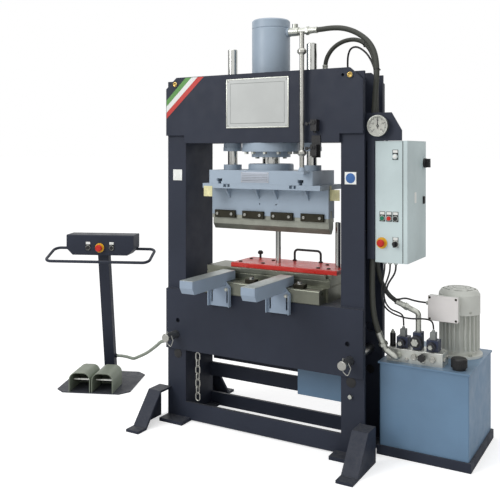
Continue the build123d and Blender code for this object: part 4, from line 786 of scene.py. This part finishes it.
# Thin leads that only show here: two from the cabinet's glands to the valve plugs, one from the head
LEFT_VALVE_LEAD = [
    (745, -40, 1031), (745, -40, 1000), (737, -46, 962), (720, -52, 915), (712, -48, 868),
    (716, -34, 820), (735, -10, 782), (762, 28, 764), (781, 56, 746), (785, 66, 718),
    (785, 66, 684),
]
RIGHT_VALVE_LEAD = [
    (715, -40, 1031), (715, -40, 1003), (711, -46, 968), (704, -54, 915), (700, -52, 858),
    (708, -36, 800), (740, -8, 762), (790, 6, 744), (842, 12, 738), (898, 22, 744), (936, 44, 738),
    (950, 60, 716), (950, 62, 686),
]
SWITCH_LEAD = [
    (430, 143, 2040), (430, 141, 2078), (431, 130, 2132), (442, 108, 2186), (470, 82, 2222),
    (520, 60, 2224), (576, 44, 2186), (612, 36, 2136), (640, 27, 2064), (655, 18, 1980),
    (658, 12, 1890), (660, 8, 1806), (668, 4, 1764), (686, 0, 1738), (704, 0, 1722), (712, 0, 1704),
    (712, 0, 1689),
]


def smooth_line(name, points):
    """A curve that follows the control points of a route."""
    data = bpy.data.curves.new(name, "CURVE")
    data.dimensions = "3D"
    line = data.splines.new("NURBS")
    line.points.add(len(points) - 1)
    for point, place in zip(line.points, points):
        point.co = (*place, 1.0)
    line.order_u = 3
    line.use_endpoint_u = True
    return data


def hose(name, node, points, diameter, material):
    """A round hose along its route, in place of its CAD node where it has one."""
    data = smooth_line(name, [RAM @ Vector(place) for place in points])
    data.bevel_depth = diameter / 2 * MM
    data.bevel_resolution = 8
    data.resolution_u = 16
    data.use_fill_caps = True
    data.materials.append(material)
    piece = link_object(name, data)
    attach(piece, "root")
    if node:
        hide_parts(node)


def route(points):
    """Points along the smooth line of a cord, in millimetres about the ram."""
    data = smooth_line("route", points)
    data.resolution_u = 40
    return [vertex.co.copy() for vertex in plain_mesh(link_object("route", data)).vertices]


def spaced(line, gap, start, stop):
    """Places a gap apart along a line, and the line's direction at each, away from both ends."""
    pairs = list(zip(line, line[1:]))
    total = sum((b - a).length for a, b in pairs)
    walked = 0.0
    found = []
    due = start
    for a, b in pairs:
        step = (b - a).length
        while due <= walked + step and due <= total - stop:
            found.append((a.lerp(b, (due - walked) / step), (b - a).normalized()))
            due += gap
        walked += step
    return found


def strung(name, material, part, found):
    """Copies of one form along a cord, each aimed along the line."""
    return copies(name, "root", material, part, [spot for spot, way in found],
                  [aimed(way) for spot, way in found])


TIE_GAP, NO_TIE_END = 420, 300


def hose_ties(name, points, radius, first):
    """Ties round a hose, each with its small lock."""
    tie = Form().turned(CENTRE, UP, [
        (radius - 0.4, -3), (radius + 1.6, -3), (radius + 1.6, 3), (radius - 0.4, 3)], 28)
    tie.box((radius, radius + 7), (-3.5, 3.5), (-4, 4), 1)
    return strung(name, black, tie, spaced(route(points), TIE_GAP, first, NO_TIE_END))


def ferrule(form, points, diameter, length):
    """A crimped sleeve over the last stretch of a hose, with a hexagon nut beyond it."""
    tip = Vector(points[-1])
    back = (Vector(points[-2]) - tip).normalized()
    r = diameter / 2
    form.turned(tip, back, [
        (0, -2), (r + 4, -2), (r + 4, 8), (r + 2.6, 10), (r + 2.6, length - 12), (r + 3.6, length - 9),
        (r + 3.6, length - 2), (r + 0.4, length), (0, length)], 36)
    form.hexagon(tip - back * 4, -back, diameter * 1.45, 18)


def ferrules(name, points, diameter, last, first):
    """Both ferrules of a hose."""
    form = Form()
    ferrule(form, points, diameter, last)
    ferrule(form, points[::-1], diameter, first)
    return form.done(name, "root", zinc)


# Rolled ridges of the conduit, ties that bind the hoses beside the column, and crimped ferrules
RIDGE_GAP, RIDGE_END = 6, 8
ridge = Form().turned(CENTRE, UP, [(9.4, -2), (10.6, -1), (10.6, 1), (9.4, 2)], 16)
conduit_ridges = strung("conduit_ridges", conduit_grey, ridge,
                        spaced(route(CONDUIT), RIDGE_GAP, RIDGE_END, RIDGE_END))
main_ties = hose_ties("main_hose_ties", MAIN_HOSE, 15, 560)
return_ties = hose_ties("return_hose_ties", RETURN_HOSE, 12.5, 360)
main_ferrules = ferrules("main_hose_ferrules", MAIN_HOSE, 30, 58, 50)
return_ferrules = ferrules("return_hose_ferrules", RETURN_HOSE, 25, 52, 34)

hose("main_hose_line", "main_hose", MAIN_HOSE, 30, rubber)
hose("return_hose_line", "return_hose", RETURN_HOSE, 25, rubber)
hose("cabinet_cable_line", "cabinet_cable", CABINET_CABLE, 10, black)
hose("conduit_line", "conduit", CONDUIT, 20, conduit_grey)
hose("left_valve_lead", None, LEFT_VALVE_LEAD, 9, black)
hose("right_valve_lead", None, RIGHT_VALVE_LEAD, 9, black)
hose("switch_lead", None, SWITCH_LEAD, 11, black)

# Floor: even light of its own towards the camera, as in a studio
FLOOR_GLOW = 0.53
ground = Surface("studio_floor", srgb(236, 236, 236), 0.9)
ground.feed("Specular IOR Level", 0.0)
ground.feed("Emission Color", (1.0, 1.0, 1.0, 1.0))
to_camera = ground.add("ShaderNodeLightPath").outputs["Is Camera Ray"]
ground.feed("Emission Strength", ground.ramp(to_camera, 0, 1, 0, FLOOR_GLOW))
bpy.ops.mesh.primitive_plane_add(size=300)
floor = bpy.context.object
floor.name = "studio_floor"
floor.data.materials.append(ground.material)

# Surroundings: white to look at, in reflections and through glass, dimmer as light
AMBIENT = 0.62
world = bpy.data.worlds.new("studio")
bpy.context.scene.world = world
world.use_nodes = True
sky = world.node_tree
rays = sky.nodes.new("ShaderNodeLightPath").outputs
seen = rays["Is Camera Ray"]
for kind in ("Is Glossy Ray", "Is Transmission Ray"):
    larger = sky.nodes.new("ShaderNodeMath")
    larger.operation = "MAXIMUM"
    sky.links.new(seen, larger.inputs[0])
    sky.links.new(rays[kind], larger.inputs[1])
    seen = larger.outputs[0]
level = sky.nodes.new("ShaderNodeMapRange")
level.inputs["To Min"].default_value = AMBIENT
level.inputs["To Max"].default_value = 1.0
sky.links.new(seen, level.inputs["Value"])
background = sky.nodes["Background"]
background.inputs["Color"].default_value = (1.0, 1.0, 1.0, 1.0)
sky.links.new(level.outputs["Result"], background.inputs["Strength"])


def soft_light(name, place, aim, size, power):
    """A large square light that looks at a point."""
    data = bpy.data.lights.new(name, "AREA")
    data.size = size
    data.energy = power
    lamp = link_object(name, data)
    lamp.location = place
    lamp.rotation_euler = (Vector(aim) - Vector(place)).to_track_quat("-Z", "Y").to_euler()


soft_light("key_light", (-2.6, -5.4, 4.2), (0.2, 0, 1.2), 3.0, 165)
soft_light("top_light", (0.6, -0.8, 5.2), (0.4, 0, 1.0), 3.0, 45)

CARD_DISTANCE, CARD_HEIGHT = 4.5, 5.0


def dark_card(name, bearing, width):
    """A black studio card that only shows in reflections, as dark stripes on bright metal."""
    place = CARD_DISTANCE * Vector((cos(radians(bearing)), sin(radians(bearing)), 0.0))
    turn = Matrix.Translation(place) @ place.to_track_quat("Y", "Z").to_matrix().to_4x4()
    half = width / 2
    corners = [(-half, 0, 0), (half, 0, 0), (half, 0, CARD_HEIGHT), (-half, 0, CARD_HEIGHT)]
    data = bpy.data.meshes.new(name)
    data.from_pydata([turn @ Vector(corner) for corner in corners], [], [(0, 1, 2, 3)])
    data.materials.append(Surface(name, (0.01, 0.01, 0.01, 1.0), 1.0).material)
    sheet = link_object(name, data)
    sheet.visible_camera = False
    sheet.visible_diffuse = False
    sheet.visible_shadow = False
    sheet.visible_transmission = False


dark_card("left_card", -160, 3.0)
dark_card("front_card", -100, 0.9)
dark_card("right_card", 16, 3.8)

# Camera: yaw in degrees, focal length and horizon in pixels of a square photo
CAMERA_AT = (2035, -3774, 1630)
CAMERA_YAW = 30
FOCAL_PX = 725
PHOTO_PX = 500
HORIZON_PX = 152
SENSOR = 36
lens_data = bpy.data.cameras.new("photo_camera")
lens_data.sensor_width = SENSOR
lens_data.lens = FOCAL_PX / PHOTO_PX * SENSOR
lens_data.shift_y = (HORIZON_PX - PHOTO_PX / 2) / PHOTO_PX
camera = link_object("photo_camera", lens_data)
camera.location = RAM @ Vector(CAMERA_AT)
camera.rotation_euler = (radians(90), 0, radians(CAMERA_YAW))
bpy.context.scene.camera = camera
bpy.context.scene.view_settings.view_transform = "Standard"
